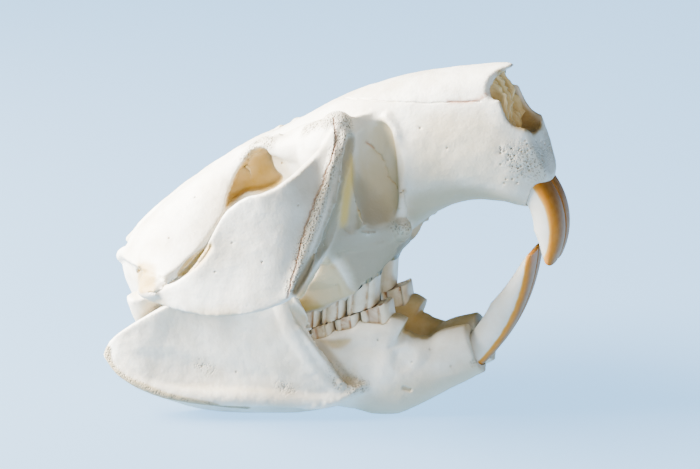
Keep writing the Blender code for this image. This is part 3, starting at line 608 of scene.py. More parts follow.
def jaw_forms(side):
    """One half of the lower jaw: body, tooth wall, upright branch and angle."""
    only = dict(place=LOWER, sides=(side,))
    made = limb(((37.8, 5.4, 20.5, 5.1, 7.1), (31, 5.7, 17.5, 5.5, 7.9), (24, 6.7, 13.4, 6.4, 8),
                 (17, 7.8, 12.5, 7.4, 11.9), (10, 9.4, 13.3, 7.2, 13.1), (3, 11, 12.8, 6.6, 11.2),
                 (-5, 13, 11.8, 6.2, 9.2), (-14, 16.6, 11.4, 5.4, 7), (-24, 20.4, 13.6, 4.2, 7.6)),
                square=2.4, segments=36, **only)
    made += limb(((31, 6.6, 17.4, 3.6, 5), (26, 7.4, 16.6, 4.6, 6.6), (21, 8.4, 15.8, 5.4, 8),
                  (16.4, 9, 16, 5.8, 9), (10, 9.8, 15, 6, 9)), square=2.4, segments=30, **only)
    made += limb(((16.4, 9.4, 21.6, 4.6, 7.4), (14, 9.6, 22.4, 5.4, 7.2), (8, 10.2, 21.2, 5.8, 7),
                  (0, 11.4, 18.8, 5.6, 6), (-8, 12.8, 15.8, 5.4, 5.4), (-16, 14, 12.6, 5, 5)),
                 square=2.8, **only)
    made += plate(
        upper=((-11, 26.2, 40), (-14, 26, 50), (-19.5, 26, 55), (-24.5, 26, 50), (-28, 25.8, 41.5),
               (-34, 26, 35.5), (-40, 27.4, 34), (-47, 31, 30.5), (-54, 32.8, 26), (-59, 32.6, 21.6)),
        lower=((6, 17, 8), (-1, 20, 4.6), (-10, 23, 5), (-19, 25.4, 5), (-28, 28, 5.5),
               (-36, 30.5, 6.6), (-44, 33, 8.4), (-51, 34, 11.2), (-57, 33.6, 14.8), (-60.6, 32.6, 18)),
        bows=((-0.6, 1.2, 0), (0, 0.8, 0), (0, 0, 0), (0, -0.5, 0), (0, -1, 0), (0, -1, 0),
              (0, -0.6, 0), (0, 0, 0), (0, 0, 0), (0, 0, 0)),
        thicknesses=(4.2, 3.6, 3, 2.8, 2.8, 2.8, 2.8, 2.8, 2.8, 2.4),
        **only,
    )
    made += lump((-38.6, 26.6, 34.2), (4.6, 4.4, 3.6), **only)
    # the masseter's ridge, from the branch's front edge down to its rough end
    made += limb(((-12.6, 26.2, 40, 1.5, 2), (-10.6, 25.6, 31, 1.6, 2.2), (-7, 24, 22.5, 1.7, 2.4),
                  (-3.2, 22, 15.6, 1.9, 2.6), (1.4, 19.6, 9.6, 2.2, 2.8), (6, 17.4, 7.8, 2.2, 2.4)),
                 up=(1, 0, 0), **only)
    # the lower edge and the shelf that it rests on
    made += limb(((8, 16.6, 10, 2.2, 2.2), (3.6, 19, 8, 2.4, 2.4), (-2, 21, 6.6, 2.6, 2.6),
                  (-10, 23.6, 7, 2.6, 2.6), (-20, 26.6, 7.4, 2.6, 2.6), (-31, 30, 7.6, 2.4, 2.4),
                  (-43, 33, 9, 2.2, 2.2), (-53, 34, 12.8, 2, 2), (-59.8, 32.8, 18.4, 1.6, 1.8)),
                 **only)
    made += plate(
        upper=((2, 17, 6.6), (-8, 21, 6), (-18, 25.5, 6), (-28, 28.6, 6.4), (-38, 31, 7.4),
               (-48, 32.4, 10.4), (-56, 32, 15)),
        lower=((2, 14, 5), (-8, 16.4, 2.6), (-18, 18.2, 1.6), (-28, 20, 1.4), (-38, 23.4, 3),
               (-47, 27.5, 6.8), (-55, 30.4, 13)),
        bows=((0, -0.5, -0.8),) * 7,
        thicknesses=(3, 3, 2.8, 2.8, 2.6, 2.4, 2.2),
        **only,
    )
    return made


def trimming_blocks():
    """Blocks that make the jaw's small flats on the ground and its face at the midline."""
    reach, half_gap = 0.2, 0.2 * MM
    clear_selection()
    bpy.ops.mesh.primitive_cube_add(size=reach, location=(0, 0, -reach / 2))
    bpy.ops.object.transform_apply(location=True)
    ground = bpy.context.object
    bpy.ops.object.select_all(action="DESELECT")
    bpy.ops.mesh.primitive_cube_add(size=1, scale=(reach, 2 * half_gap, reach))
    bpy.ops.object.transform_apply(scale=True)
    return [ground, bpy.context.object]


def shape_jaw(side, word):
    made = join(jaw_forms(side), "jaw_bone_" + word)
    one_skin(made, JAW_VOXEL, 5)
    weathered(made)
    sockets = tooth_row("lower", side, GUM_CRACK)
    sockets += incisor_sockets(LOWER_INCISOR, side, LOWER, -43.5, -31)
    cut(made, trimming_blocks() + sockets)
    return keep_largest(made)


# How a line or an outline in the photograph's frame is laid on a bone.
LINE_STEPS, OUTLINE_STEPS = 8, 4  # places between two drawn points
OUTLINE_SPACING = 0.8  # pixels
FACING_ALIKE = 0.15  # least cosine between a point's direction and the trail's
TRAIL_SPACING = 0.25 * MM
TRAIL_BREAK = 4 * MM  # a longer jump between two places is a different surface
TRAIL_PIECE = 24  # places that are compared at a time
RAY_LIFT = 0.3 * MM  # off the surface, so that a ray doesn't meet its own face
PIXELS = LENS * FRAME_WIDTH / SENSOR  # across the frame, for a slope of 1


def eased(share):
    """A share from 0 to 1 with a soft start and end."""
    return share * share * (3 - 2 * share)


def fill_in(found):
    """Closes up the places of a trail, except over a break."""
    filled = []
    for here, there in zip(found, found[1:]):
        here, there = np.array(here), np.array(there)
        gap = np.linalg.norm(there[:3] - here[:3])
        count = max(1, int(gap / TRAIL_SPACING)) if gap < TRAIL_BREAK else 1
        filled += [here + (there - here) * i / count for i in range(count)]
    return np.array(filled + [np.array(found[-1])]) if found else np.zeros((0, 6))


def on_sides(trail, sides):
    turned = trail * np.array([1, -1, 1, 1, -1, 1])
    return [trail if side == 1 else turned for side in sides if len(trail)]


def jagged(line, size, seed):
    """The line with teeth like a suture's, size pixels high."""
    draws = np.random.default_rng(seed)
    dense = smooth_rows(line, 6)
    return dense + draws.uniform(-size, size, dense.shape)


class Carving:
    """The surface of one bone while it is carved and painted."""

    def __init__(self, bone):
        self.bone = bone
        self.read()

    def read(self):
        mesh = self.bone.data
        self.points, self.facing = np.empty((2, len(mesh.vertices) * 3), np.float32)
        mesh.vertices.foreach_get("co", self.points)
        mesh.vertex_normals.foreach_get("vector", self.facing)
        self.points = self.points.reshape(-1, 3)
        self.facing = self.facing.reshape(-1, 3)
        bpy.context.view_layer.update()
        self.tree = BVHTree.FromObject(self.bone, bpy.context.evaluated_depsgraph_get())

    def write(self):
        self.bone.data.vertices.foreach_set("co", self.points.ravel())
        self.bone.data.update()

    def seen(self, line, sides=(1, -1)):
        """Where a line in the photograph's frame lies on the bone: places and outward directions."""
        line = smooth_rows(line, LINE_STEPS) if len(line) > 1 else line
        found = []
        for across, down in line:
            ray = Vector((across - FRAME_WIDTH / 2, FRAME_HEIGHT / 2 - down, -PIXELS))
            hit, normal, _, _ = self.tree.ray_cast(EYE, (EYE_TURN @ ray).normalized())
            if hit is not None:
                found.append((*hit, *normal))
        return on_sides(fill_in(found), sides)

    def nearness(self, trail, width):
        """Each point's share of closeness to the trail: 1 on it, 0 at width and beyond."""
        best = np.full(len(self.points), width, np.float32)
        for some in np.array_split(trail, max(1, len(trail) // TRAIL_PIECE)):
            low, high = some[:, :3].min(0) - width, some[:, :3].max(0) + width
            near = np.flatnonzero(((self.points > low) & (self.points < high)).all(1))
            if not len(near):
                continue
            gaps = np.linalg.norm(self.points[near, None] - some[None, :, :3], axis=2)
            who = gaps.argmin(1)
            same_way = (self.facing[near] * some[who, 3:]).sum(1) > FACING_ALIKE
            gap = np.where(same_way, gaps[np.arange(len(near)), who], width)
            best[near] = np.minimum(best[near], gap)
        return 1 - best / width

    def inside(self, outline, soft, sides=(1, -1)):
        """Each point's share of being inside an outline drawn in the photograph's frame, on the
        surface that shows there: 0 at the outline and 1 from soft pixels within it."""
        line = smooth_rows([*outline, outline[0]], OUTLINE_STEPS)
        lengths = np.append(0, np.cumsum(np.linalg.norm(np.diff(line, axis=0), axis=1)))
        marks = np.arange(0, lengths[-1], OUTLINE_SPACING)
        line = np.stack([np.interp(marks, lengths, line[:, i]) for i in (0, 1)], 1)
        line = np.vstack([line, line[:1]])
        shares = np.zeros(len(self.points), np.float32)
        for side in sides:
            flip = np.array((1, side, 1))
            towards = np.array(EYE) - self.points * flip
            across, up, back = (-towards @ np.array(EYE_TURN)).T
            spots = np.stack((FRAME_WIDTH / 2 - across * PIXELS / back,
                              FRAME_HEIGHT / 2 + up * PIXELS / back), 1)
            towards /= np.linalg.norm(towards, axis=1)[:, None]
            facing = (self.facing * flip * towards).sum(1) > 0
            near = np.flatnonzero(((spots > line.min(0)) & (spots < line.max(0))).all(1) & facing)
            if not len(near):
                continue
            spots = spots[near]
            a, b = line[:-1], line[1:]
            crossing = (a[:, 1] > spots[:, None, 1]) != (b[:, 1] > spots[:, None, 1])
            slope = (b[:, 0] - a[:, 0]) / np.where(b[:, 1] == a[:, 1], 1, b[:, 1] - a[:, 1])
            at = a[:, 0] + (spots[:, None, 1] - a[:, 1]) * slope
            within = (crossing & (spots[:, None, 0] < at)).sum(1) % 2 == 1
            gaps = np.linalg.norm(spots[:, None] - line[None], axis=2).min(1)
            for i, gap in zip(near[within], gaps[within]):
                start = Vector(self.points[i] + self.facing[i] * RAY_LIFT)
                way = Vector(towards[i] * flip)
                if self.tree.ray_cast(start, way)[0] is None:
                    shares[i] = max(shares[i], min(1, gap / soft))
        return shares

    def blur(self, values, rounds):
        """Spreads values to the points beside them."""
        edges = np.empty(len(self.bone.data.edges) * 2, np.int32)
        self.bone.data.edges.foreach_get("vertices", edges)
        a, b = edges.reshape(-1, 2).T
        beside = np.bincount(a, minlength=len(values)) + np.bincount(b, minlength=len(values))
        for _ in range(rounds):
            around = np.bincount(a, values[b], len(values)) + np.bincount(b, values[a], len(values))
            values = (values + around / np.maximum(beside, 1)) / 2
        return values

    def swell(self, shares, height, rounds=4):
        """Raises the surface by shares of height, or sinks it where height is negative."""
        self.points += self.facing * (self.blur(eased(shares), rounds) * height * MM)[:, None]

    def soften(self, shares, rounds):
        """Smooths the surface by shares."""
        smooth = np.stack([self.blur(self.points[:, i], rounds) for i in range(3)], 1)
        self.points += ((smooth - self.points) * shares[:, None]).astype(np.float32)

    def mark(self, name, values):
        """Raises a number of each point to values, for a material to read."""
        kept = self.bone.data.attributes
        layer = kept.get(name) or kept.new(name, "FLOAT", "POINT")
        before = np.empty(len(self.points), np.float32)
        layer.data.foreach_get("value", before)
        layer.data.foreach_set("value", np.maximum(before, values))

    def tint(self, name, shares, strength=1.0, rounds=3):
        """Marks the surface by shares."""
        self.mark(name, self.blur(shares, rounds) * strength)

    def paint(self, name, trails, width, strength=1.0, soft=1.0):
        """Marks the surface along the trails."""
        for trail in trails:
            share = np.minimum(self.nearness(trail, width * MM) * soft, 1)
            self.mark(name, strength * eased(share))

    def push(self, trails, width, height):
        """Raises the surface along the trails, or sinks it where height is negative."""
        for trail in trails:
            rise = eased(self.nearness(trail, width * MM))
            self.points += self.facing * (rise * height * MM)[:, None]

    def refine(self, trails, width):
        """Splits the faces along the trails into smaller ones."""
        self.write()
        near = np.zeros(len(self.points), bool)
        for trail in trails:
            near |= self.nearness(trail, width * MM) > 0
        pick(self.bone)
        bpy.ops.object.mode_set(mode="EDIT")
        bpy.ops.mesh.select_mode(type="VERT")
        bpy.ops.mesh.select_all(action="DESELECT")
        bpy.ops.object.mode_set(mode="OBJECT")
        self.bone.data.vertices.foreach_set("select", near)
        bpy.ops.object.mode_set(mode="EDIT")
        bpy.ops.mesh.select_mode(type="VERT")
        bpy.ops.mesh.subdivide(number_cuts=1)
        bpy.ops.object.mode_set(mode="OBJECT")
        self.read()


MIX_FIRST, MIX_SECOND, MIX_RESULT = 6, 7, 2  # a mixing node's colours among its sockets


class Finish:
    """A material made of mixed colours over one shader."""

    def __init__(self, name, **shader_values):
        self.made = bpy.data.materials.new(name)
        self.made.use_nodes = True
        self.tree = self.made.node_tree
        self.shader = self.tree.nodes["Principled BSDF"]
        for socket, value in shader_values.items():
            self.shader.inputs[socket.replace("_", " ")].default_value = value
        self.place = self.add("TexCoord").outputs["Object"]

    def add(self, kind, **inputs):
        made = self.tree.nodes.new("ShaderNode" + kind)
        for name, value in inputs.items():
            self.feed(made.inputs[name.replace("_", " ")], value)
        return made

    def feed(self, socket, value):
        if isinstance(value, bpy.types.NodeSocket):
            self.tree.links.new(value, socket)
        else:
            socket.default_value = value

    def noise(self, scale, detail=4.0, low=0.4, high=0.6):
        """Cloudy noise, scale to a metre, spread from 0 at low to 1 at high."""
        cloud = self.add("TexNoise", Vector=self.place, Scale=scale, Detail=detail, Roughness=0.55)
        return self.spread(cloud.outputs["Fac"], low, high)

    def cells(self, scale, low=0.0, high=1.0):
        """Small pits: 0 in the middle of each cell."""
        cell = self.add("TexVoronoi", Vector=self.place, Scale=scale)
        return self.spread(cell.outputs["Distance"], low, high)

    def spread(self, value, low, high, to_low=0.0, to_high=1.0):
        made = self.add("MapRange", Value=value)
        made.inputs["From Min"].default_value = low
        made.inputs["From Max"].default_value = high
        made.inputs["To Min"].default_value = to_low
        made.inputs["To Max"].default_value = to_high
        return made.outputs["Result"]

    def mark(self, name):
        made = self.tree.nodes.new("ShaderNodeAttribute")
        made.attribute_name = name
        return made.outputs["Fac"]

    def maths(self, kind, a, b):
        made = self.tree.nodes.new("ShaderNodeMath")
        made.operation = kind
        self.feed(made.inputs[0], a)
        self.feed(made.inputs[1], b)
        return made.outputs[0]

    def mix(self, share, a, b):
        made = self.tree.nodes.new("ShaderNodeMix")
        made.data_type = "RGBA"
        self.feed(made.inputs["Factor"], share)
        for spot, value in ((MIX_FIRST, a), (MIX_SECOND, b)):
            self.feed(made.inputs[spot], (*value, 1) if isinstance(value, tuple) else value)
        return made.outputs[MIX_RESULT]

    def finish(self, colour, height=None, depth=0.0001, roughness=None):
        self.feed(self.shader.inputs["Base Color"], colour)
        if roughness is not None:
            self.feed(self.shader.inputs["Roughness"], roughness)
        if height is not None:
            bump = self.add("Bump", Height=height, Distance=depth, Strength=1.0)
            self.feed(self.shader.inputs["Normal"], bump.outputs["Normal"])
        return self.made


def bone_finish():
    bone = Finish("dry_bone", Roughness=0.55, Subsurface_Weight=0.06,
                  Subsurface_Radius=(1, 0.6, 0.35), Subsurface_Scale=0.0012)
    clouds = bone.noise(75, detail=6, low=0.36, high=0.62)
    colour = bone.mix(clouds, (0.56, 0.50, 0.40), (0.72, 0.69, 0.61))
    specks = bone.noise(900, detail=2, low=0.62, high=0.72)
    colour = bone.mix(bone.maths("MULTIPLY", specks, 0.2), colour, (0.47, 0.40, 0.29))
    streaks = bone.noise(220, low=0.42, high=0.75)
    # tan of the hollows: the stain that the bone has there, and painted shade where the hollows lie in
    # shadow; streaks vary its strength
    recess_stain_and_shade = bone.maths("MULTIPLY", bone.mark("recess_stain_and_shade"), bone.spread(streaks, 0, 1, 0.8, 1.0))
    # painted warm shade: darker, warmer colour on faces in hollows or turned from the light, and a
    # painted warm glow of bounced light on the facet under the arch
    colour = bone.mix(bone.mark("painted_warm_shade"), colour, (0.56, 0.45, 0.27))
    colour = bone.mix(recess_stain_and_shade, colour, (0.37, 0.215, 0.012))
    # painted shade: dark grey-tan over the fossa, beside the strip, under the snout and on other faces
    # that lie in shadow
    colour = bone.mix(bone.mark("painted_shade"), colour, (0.26, 0.215, 0.14))
    # painted glow: yellow light shining through the thin wall of the fossa
    colour = bone.mix(bone.mark("painted_glow"), colour, (0.60, 0.40, 0.09))
    pits = bone.cells(1500, 0.15, 0.5)
    rough = bone.mark("rough")
    pitted = bone.maths("MULTIPLY", rough, bone.spread(pits, 0, 1, 0.7, 0.0))
    colour = bone.mix(bone.maths("MULTIPLY", rough, 0.6), colour, (0.36, 0.31, 0.21))
    # the pits' middles darkened: painted shade inside the pores
    colour = bone.mix(pitted, colour, (0.22, 0.165, 0.10))
    colour = bone.mix(bone.mark("rust"), colour, (0.34, 0.10, 0.02))
    colour = bone.mix(bone.mark("dark"), colour, (0.09, 0.05, 0.02))
    grain = bone.maths("MULTIPLY", bone.noise(1500, detail=3, low=0, high=1), 0.3)
    dents = bone.maths("MULTIPLY", bone.noise(260, detail=3, low=0, high=1), 1.5)
    height = bone.maths("ADD", bone.maths("ADD", grain, dents),
                      bone.maths("MULTIPLY", rough, bone.spread(pits, 0, 1, 0, 1.6)))
    return bone.finish(colour, height, depth=0.00018)


def enamel_finish(name, reach):
    """Dentine at the sides, and the orange band of enamel down the front."""
    tooth = Finish(name, Specular_IOR_Level=0.12, Subsurface_Weight=0.05,
                   Subsurface_Radius=(1, 0.7, 0.4), Subsurface_Scale=0.001)
    wander = tooth.noise(350, low=0, high=1)
    depth = tooth.maths("ADD", tooth.mark("depth"), tooth.spread(wander, 0, 1, -0.03, 0.03))
    clouds = tooth.noise(150, low=0.35, high=0.7)
    colour = tooth.mix(clouds, (0.62, 0.58, 0.49), (0.72, 0.695, 0.63))
    colour = tooth.mix(tooth.spread(depth, reach * 1.15, reach * 0.98), colour, (0.64, 0.33, 0.06))
    colour = tooth.mix(tooth.spread(depth, reach, reach * 0.75), colour, (0.56, 0.19, 0.012))
    colour = tooth.mix(tooth.spread(depth, reach * 0.55, reach * 0.1), colour, (0.26, 0.10, 0.014))
    streaks = tooth.noise(500, low=0.4, high=0.7)
    colour = tooth.mix(tooth.maths("MULTIPLY", streaks, 0.12), colour, (0.62, 0.40, 0.18))
    gloss = tooth.spread(depth, reach, reach * 0.8, 0.5, 0.42)
    return tooth.finish(colour, tooth.noise(900, low=0, high=1), 0.00003, gloss)


def scroll_finish():
    scroll = Finish("nose_scroll_bone", Roughness=0.6, Subsurface_Weight=0.1,
                    Subsurface_Radius=(1, 0.6, 0.3), Subsurface_Scale=0.001)
    # tan all over: the stain of the deep nose, and painted shade where it lies inside
    clouds = scroll.noise(240, low=0.35, high=0.65)
    colour = scroll.mix(clouds, (0.58, 0.40, 0.15), (0.74, 0.58, 0.30))
    return scroll.finish(colour, scroll.noise(1400, low=0, high=1), 0.00008)


def ivory_finish():
    ivory = Finish("cheek_tooth_ivory", Roughness=0.35, Subsurface_Weight=0.08,
                   Subsurface_Radius=(1, 0.7, 0.4), Subsurface_Scale=0.001)
    clouds = ivory.noise(300, low=0.35, high=0.7)
    colour = ivory.mix(clouds, (0.60, 0.50, 0.34), (0.72, 0.665, 0.54))
    brown = ivory.noise(320, low=0.4, high=0.56)
    stain = ivory.maths("MULTIPLY", ivory.mark("stain"), brown)
    colour = ivory.mix(stain, colour, (0.30, 0.115, 0.018))
    return ivory.finish(colour, ivory.noise(1200, low=0, high=1), 0.00004)


# Lines on the cranium, as they are seen from the photograph's side.
STRIP_BACK = ((333, 118), (335, 133), (336, 140), (334, 149), (331, 160), (326, 170), (323, 183),
              (317, 195), (313, 206), (306, 225), (300, 247), (295, 268), (290, 285), (287, 298))
STRIP_MIDDLE = ((340, 124), (341, 136), (339, 146), (335, 160), (331, 172), (327, 186), (322, 198),
                (318, 210), (311, 228), (304, 248), (298, 268), (292, 288))
BROW_CORNER = ((244, 157), (250, 148), (257, 142), (263, 139), (270, 141))
LACRIMAL = ((306, 128), (315, 123), (324, 120), (333, 117), (341, 116), (348, 122), (350, 129))
NASAL_SUTURE = ((345, 98), (362, 99), (384, 101), (405, 102), (430, 103), (455, 102), (480, 101))
NASAL_GAP = ((448, 102), (462, 102), (474, 101), (481, 98), (486, 94))
PREMAX_SUTURE = ((366, 142), (374, 148), (384, 160), (389, 176), (398, 187))
JUGAL_SUTURE = ((149, 293), (157, 292), (170, 281), (177, 278))
SOCKET_EDGE = ((252, 151), (247, 160), (242, 168), (238, 173), (235, 182), (231, 192), (227, 205))
FOSSA_RIDGE = ((387, 117), (395, 130), (399, 148), (401, 170), (402, 190), (402, 210), (401, 228))
TUBERCLE = ((396, 228), (402, 231), (408, 229))

# Regions of the cranium, drawn in the same way.
ORBIT_WINDOW = ((225, 211), (227, 195), (233, 179), (238, 169), (244, 161), (249, 152), (256, 147),
                (263, 148), (270, 154), (275, 168), (284, 178), (279, 186), (268, 191), (247, 192),
                (236, 200))
TEMPLE_WINDOW = ((211, 241), (197, 251), (185, 261), (176, 275), (184, 277), (193, 271), (205, 261),
                 (213, 247))
TROUGH = ((351, 132), (358, 121), (376, 116), (389, 126), (396, 148), (400, 175), (400, 226),
          (388, 241), (362, 248), (338, 246), (328, 228), (332, 200), (340, 172), (346, 150))
TROUGH_BOTTOM = ((353, 138), (364, 132), (376, 146), (381, 180), (379, 215), (364, 236), (344, 238),
                 (335, 220), (340, 190), (347, 160))
TROUGH_LOW = ((349, 150), (362, 166), (380, 182), (394, 200), (399, 226), (388, 241), (362, 248),
              (338, 246), (328, 228), (332, 200), (340, 172))
BESIDE_STRIP = ((349, 130), (356, 138), (353, 160), (347, 180), (342, 205), (338, 228), (331, 246),
                (318, 263), (306, 281), (295, 296), (292, 290), (301, 272), (314, 246), (325, 217),
                (334, 190), (340, 158))
YELLOW_STREAK = ((350, 152), (356, 160), (355, 185), (352, 205), (348, 226), (338, 226), (339, 205),
                 (342, 185), (346, 168))
ROOT_SHADE = ((336, 244), (372, 238), (412, 226), (424, 250), (400, 300), (362, 312), (350, 293),
              (342, 272), (328, 252))
TROUGH_SILL = ((334, 216), (352, 216), (376, 220), (396, 218), (399, 246), (376, 260), (350, 264),
               (324, 258))
ROOT_FACET = ((327, 254), (337, 266), (344, 277), (352, 289), (363, 291), (347, 298), (327, 306),
              (291, 317), (289, 306), (300, 290), (312, 274))
NOSE_INSIDE = ((497, 68), (512, 72), (517, 92), (530, 110), (543, 123), (542, 131), (525, 133),
               (508, 123), (500, 106), (493, 88))
SNOUT_UNDER = ((398, 262), (402, 196), (430, 180), (470, 178), (504, 186), (530, 204), (546, 240),
               (470, 240))
SNOUT_SIDE = ((412, 108), (486, 106), (506, 132), (512, 160), (524, 186), (500, 196), (450, 188),
              (420, 204), (404, 186), (404, 140))
ROOT_FOOT = ((288, 300), (304, 288), (316, 297), (330, 304), (352, 293), (366, 284), (352, 298),
             (328, 311), (297, 317))
EAR_GAP = ((137, 262), (155, 264), (156, 290), (148, 293), (138, 292))
NECK_JOINT = ((140, 298), (166, 298), (166, 324), (140, 324))
ARCH_SHADE = ((186, 306), (236, 306), (236, 331), (186, 331))
SNOUT_END = ((500, 140), (522, 140), (548, 146), (549, 178), (530, 183), (506, 172))
CREST_FOLD = ((166, 209), (153, 220), (144, 231), (138, 244), (136, 257), (139, 266))
PORES = ((282, 163), (215, 272), (169, 238), (195, 197), (336, 285), (420, 128), (447, 148),
         (298, 205), (262, 262), (232, 243))

SNOUT_PITS = 46

# What colours each region of the cranium: the region, how many pixels its edge takes to
# fade in, its strength, and how far it spreads beyond. Save for the rough marks and the
# yellow streak, these tints are painted shade: darker, warmer colour where the bone lies in
# a hollow or is turned from the light, the tan of the hollows being also their stain. The
# yellow streak is a painted glow of light through thin bone.
CRANIUM_TINTS = (
    ("rough", SNOUT_END, 8, 0.7, 3),
    ("painted_glow", YELLOW_STREAK, 4, 0.9, 3),
    ("recess_stain_and_shade", ORBIT_WINDOW, 1.2, 1.0, 1),
    ("recess_stain_and_shade", TEMPLE_WINDOW, 1.2, 1.0, 1),
    ("painted_shade", TROUGH, 14, 0.3, 5),
    ("painted_shade", TROUGH_LOW, 14, 0.8, 5),
    ("painted_shade", TROUGH_SILL, 8, 0.9, 3),
    ("painted_shade", BESIDE_STRIP, 1.5, 1.0, 1),
    ("recess_stain_and_shade", ROOT_FOOT, 5, 0.9, 5),
    ("recess_stain_and_shade", NOSE_INSIDE, 2, 0.9, 1),
    ("painted_warm_shade", SNOUT_SIDE, 14, 0.5, 5),
    ("painted_shade", SNOUT_SIDE, 14, 0.12, 5),
    ("painted_warm_shade", SNOUT_UNDER, 14, 0.9, 4),
    ("painted_shade", SNOUT_UNDER, 14, 0.5, 4),
    ("recess_stain_and_shade", EAR_GAP, 1.5, 0.9, 1),
    ("recess_stain_and_shade", NECK_JOINT, 5, 0.6, 3),
    ("recess_stain_and_shade", ARCH_SHADE, 6, 0.5, 3),
)


def seen_dots(carving, places):
    return [trail for place in places for trail in carving.seen([place])]


def carve_cranium(bone):
    carving = Carving(bone)
    carving.swell(carving.inside(TROUGH_BOTTOM, 16), -0.9)
    carving.swell(carving.inside(BESIDE_STRIP, 4), -1.7, 2)
    carving.swell(carving.inside(ROOT_SHADE, 16), -0.7)
    carving.soften(carving.inside(TROUGH_SILL, 6), rounds=90)
    carving.swell(carving.inside(ROOT_FACET, 5), 0.8, 2)
    carving.swell(carving.inside(ORBIT_WINDOW, 3), -3.2, 1)
    carving.swell(carving.inside(TEMPLE_WINDOW, 4), -1.2, 2)
    for line, width, height in ((FOSSA_RIDGE, 2.2, 0.9), (STRIP_MIDDLE, 1.9, 0.45),
                                (LACRIMAL, 2.2, 0.35), (BROW_CORNER, 2.0, 0.5),
                                (CREST_FOLD, 2.2, -0.55)):
        carving.push(carving.seen(line), width, height)
    carving.write()
    carving.read()
    open_cracks = []
    for seed, (line, teeth) in enumerate(((NASAL_SUTURE, 0.5), (PREMAX_SUTURE, 1.0),
                                          (JUGAL_SUTURE, 1.0), (SOCKET_EDGE, 1.2))):
        open_cracks += carving.seen(jagged(line, teeth, seed))
    rusty_cracks = carving.seen(jagged(STRIP_BACK, 0.6, 4))
    cracks = open_cracks + rusty_cracks
    draws = np.random.default_rng(17)
    corners = np.array(SNOUT_END)
    pits = draws.uniform(corners.min(0), corners.max(0), (SNOUT_PITS, 2))
    pores = seen_dots(carving, PORES) + seen_dots(carving, pits)
    carving.refine(cracks + pores, 1.1)
    carving.refine(cracks + pores, 0.7)
    carving.push(cracks, 0.34, -0.3)
    carving.push(pores, 0.4, -0.45)
    carving.write()
    thin_out(bone, SKULL_TRIANGLES)
    carving = Carving(bone)
    carving.paint("dark", open_cracks, 0.26, 0.8, soft=1.4)
    # the pores painted dark: painted shade inside the holes
    carving.paint("dark", pores, 0.42, 0.7, soft=1.4)
    carving.paint("rust", rusty_cracks, 0.4, 0.9, soft=1.4)
    carving.paint("rust", carving.seen(NASAL_GAP), 0.9, 0.8)
    carving.paint("rust", carving.seen(PREMAX_SUTURE[:2]), 0.6, 0.6)
    for line, width, strength, soft in ((STRIP_MIDDLE, 2.6, 1.0, 1.6), (LACRIMAL, 3.4, 1.0, 1.5),
                                        (BROW_CORNER, 3, 0.9, 1.5), (TUBERCLE, 3, 0.9, 1.5)):
        carving.paint("rough", carving.seen(line), width, strength, soft)
    for name, outline, soft, strength, rounds in CRANIUM_TINTS:
        carving.tint(name, carving.inside(outline, soft), strength, rounds)
    # painted shade behind the facet under the arch, and a painted warm glow of bounced light on the
    # facet itself
    facet = carving.inside(ROOT_FACET, 2)
    behind_facet = carving.inside(ROOT_SHADE, 12) * (1 - facet)
    for name, shares, strength in (("painted_shade", behind_facet, 0.95), ("painted_warm_shade", behind_facet, 0.8),
                                   ("painted_warm_shade", facet, 0.9), ("recess_stain_and_shade", facet, 0.3)):
        carving.tint(name, shares, strength, 1)
    shade_recesses(carving)


# Lines and regions of the lower jaw's near half.
JAW_GROOVE = ((300, 320), (312, 337), (326, 354), (340, 372), (356, 384))
JAW_TUBERCLE = ((338, 382), (346, 386), (354, 388), (363, 386))
LOBE_RIM = ((306, 409), (322, 406), (338, 401), (352, 393))
ANGLE_RIM = ((107, 349), (107, 357), (111, 366), (119, 375), (130, 382), (142, 387), (164, 396),
             (186, 401), (212, 405), (246, 408))
GREY_SPOTS = ((200, 364), (209, 369), (281, 386), (289, 389))
ANGLE_HOLLOW = ((128, 352), (150, 345), (200, 350), (250, 358), (280, 372), (272, 390), (225, 394),
                (180, 390), (148, 378))
BODY_HOLLOW = ((390, 350), (404, 344), (420, 352), (414, 370), (398, 376), (389, 366))
TOOTH_BUTTRESS = ((390, 322), (389, 338), (386, 356), (383, 374))
ROW_NOTCH = ((311, 335), (318, 342), (328, 349), (341, 350), (352, 342), (350, 337), (330, 338))
CHIN_SIDE = ((352, 396), (396, 372), (440, 366), (476, 352), (506, 372), (430, 440), (350, 440))
GREY_PATCH = ((322, 354), (344, 360), (368, 378), (364, 394), (340, 396), (326, 378))
CHIN_HOLE = ((404, 388), (407, 389), (410, 390))
JAW_PORES = ((451, 366), (202, 366), (285, 387), (378, 340), (430, 349), (236, 372), (412, 362))
INNER_FACE = ((366, 292), (400, 284), (416, 280), (428, 295), (444, 312), (470, 304), (488, 303),
              (470, 330), (405, 350), (366, 345))
SOCKET_RIM = ((474, 326), (475, 338), (478, 344), (476, 355), (473, 364))


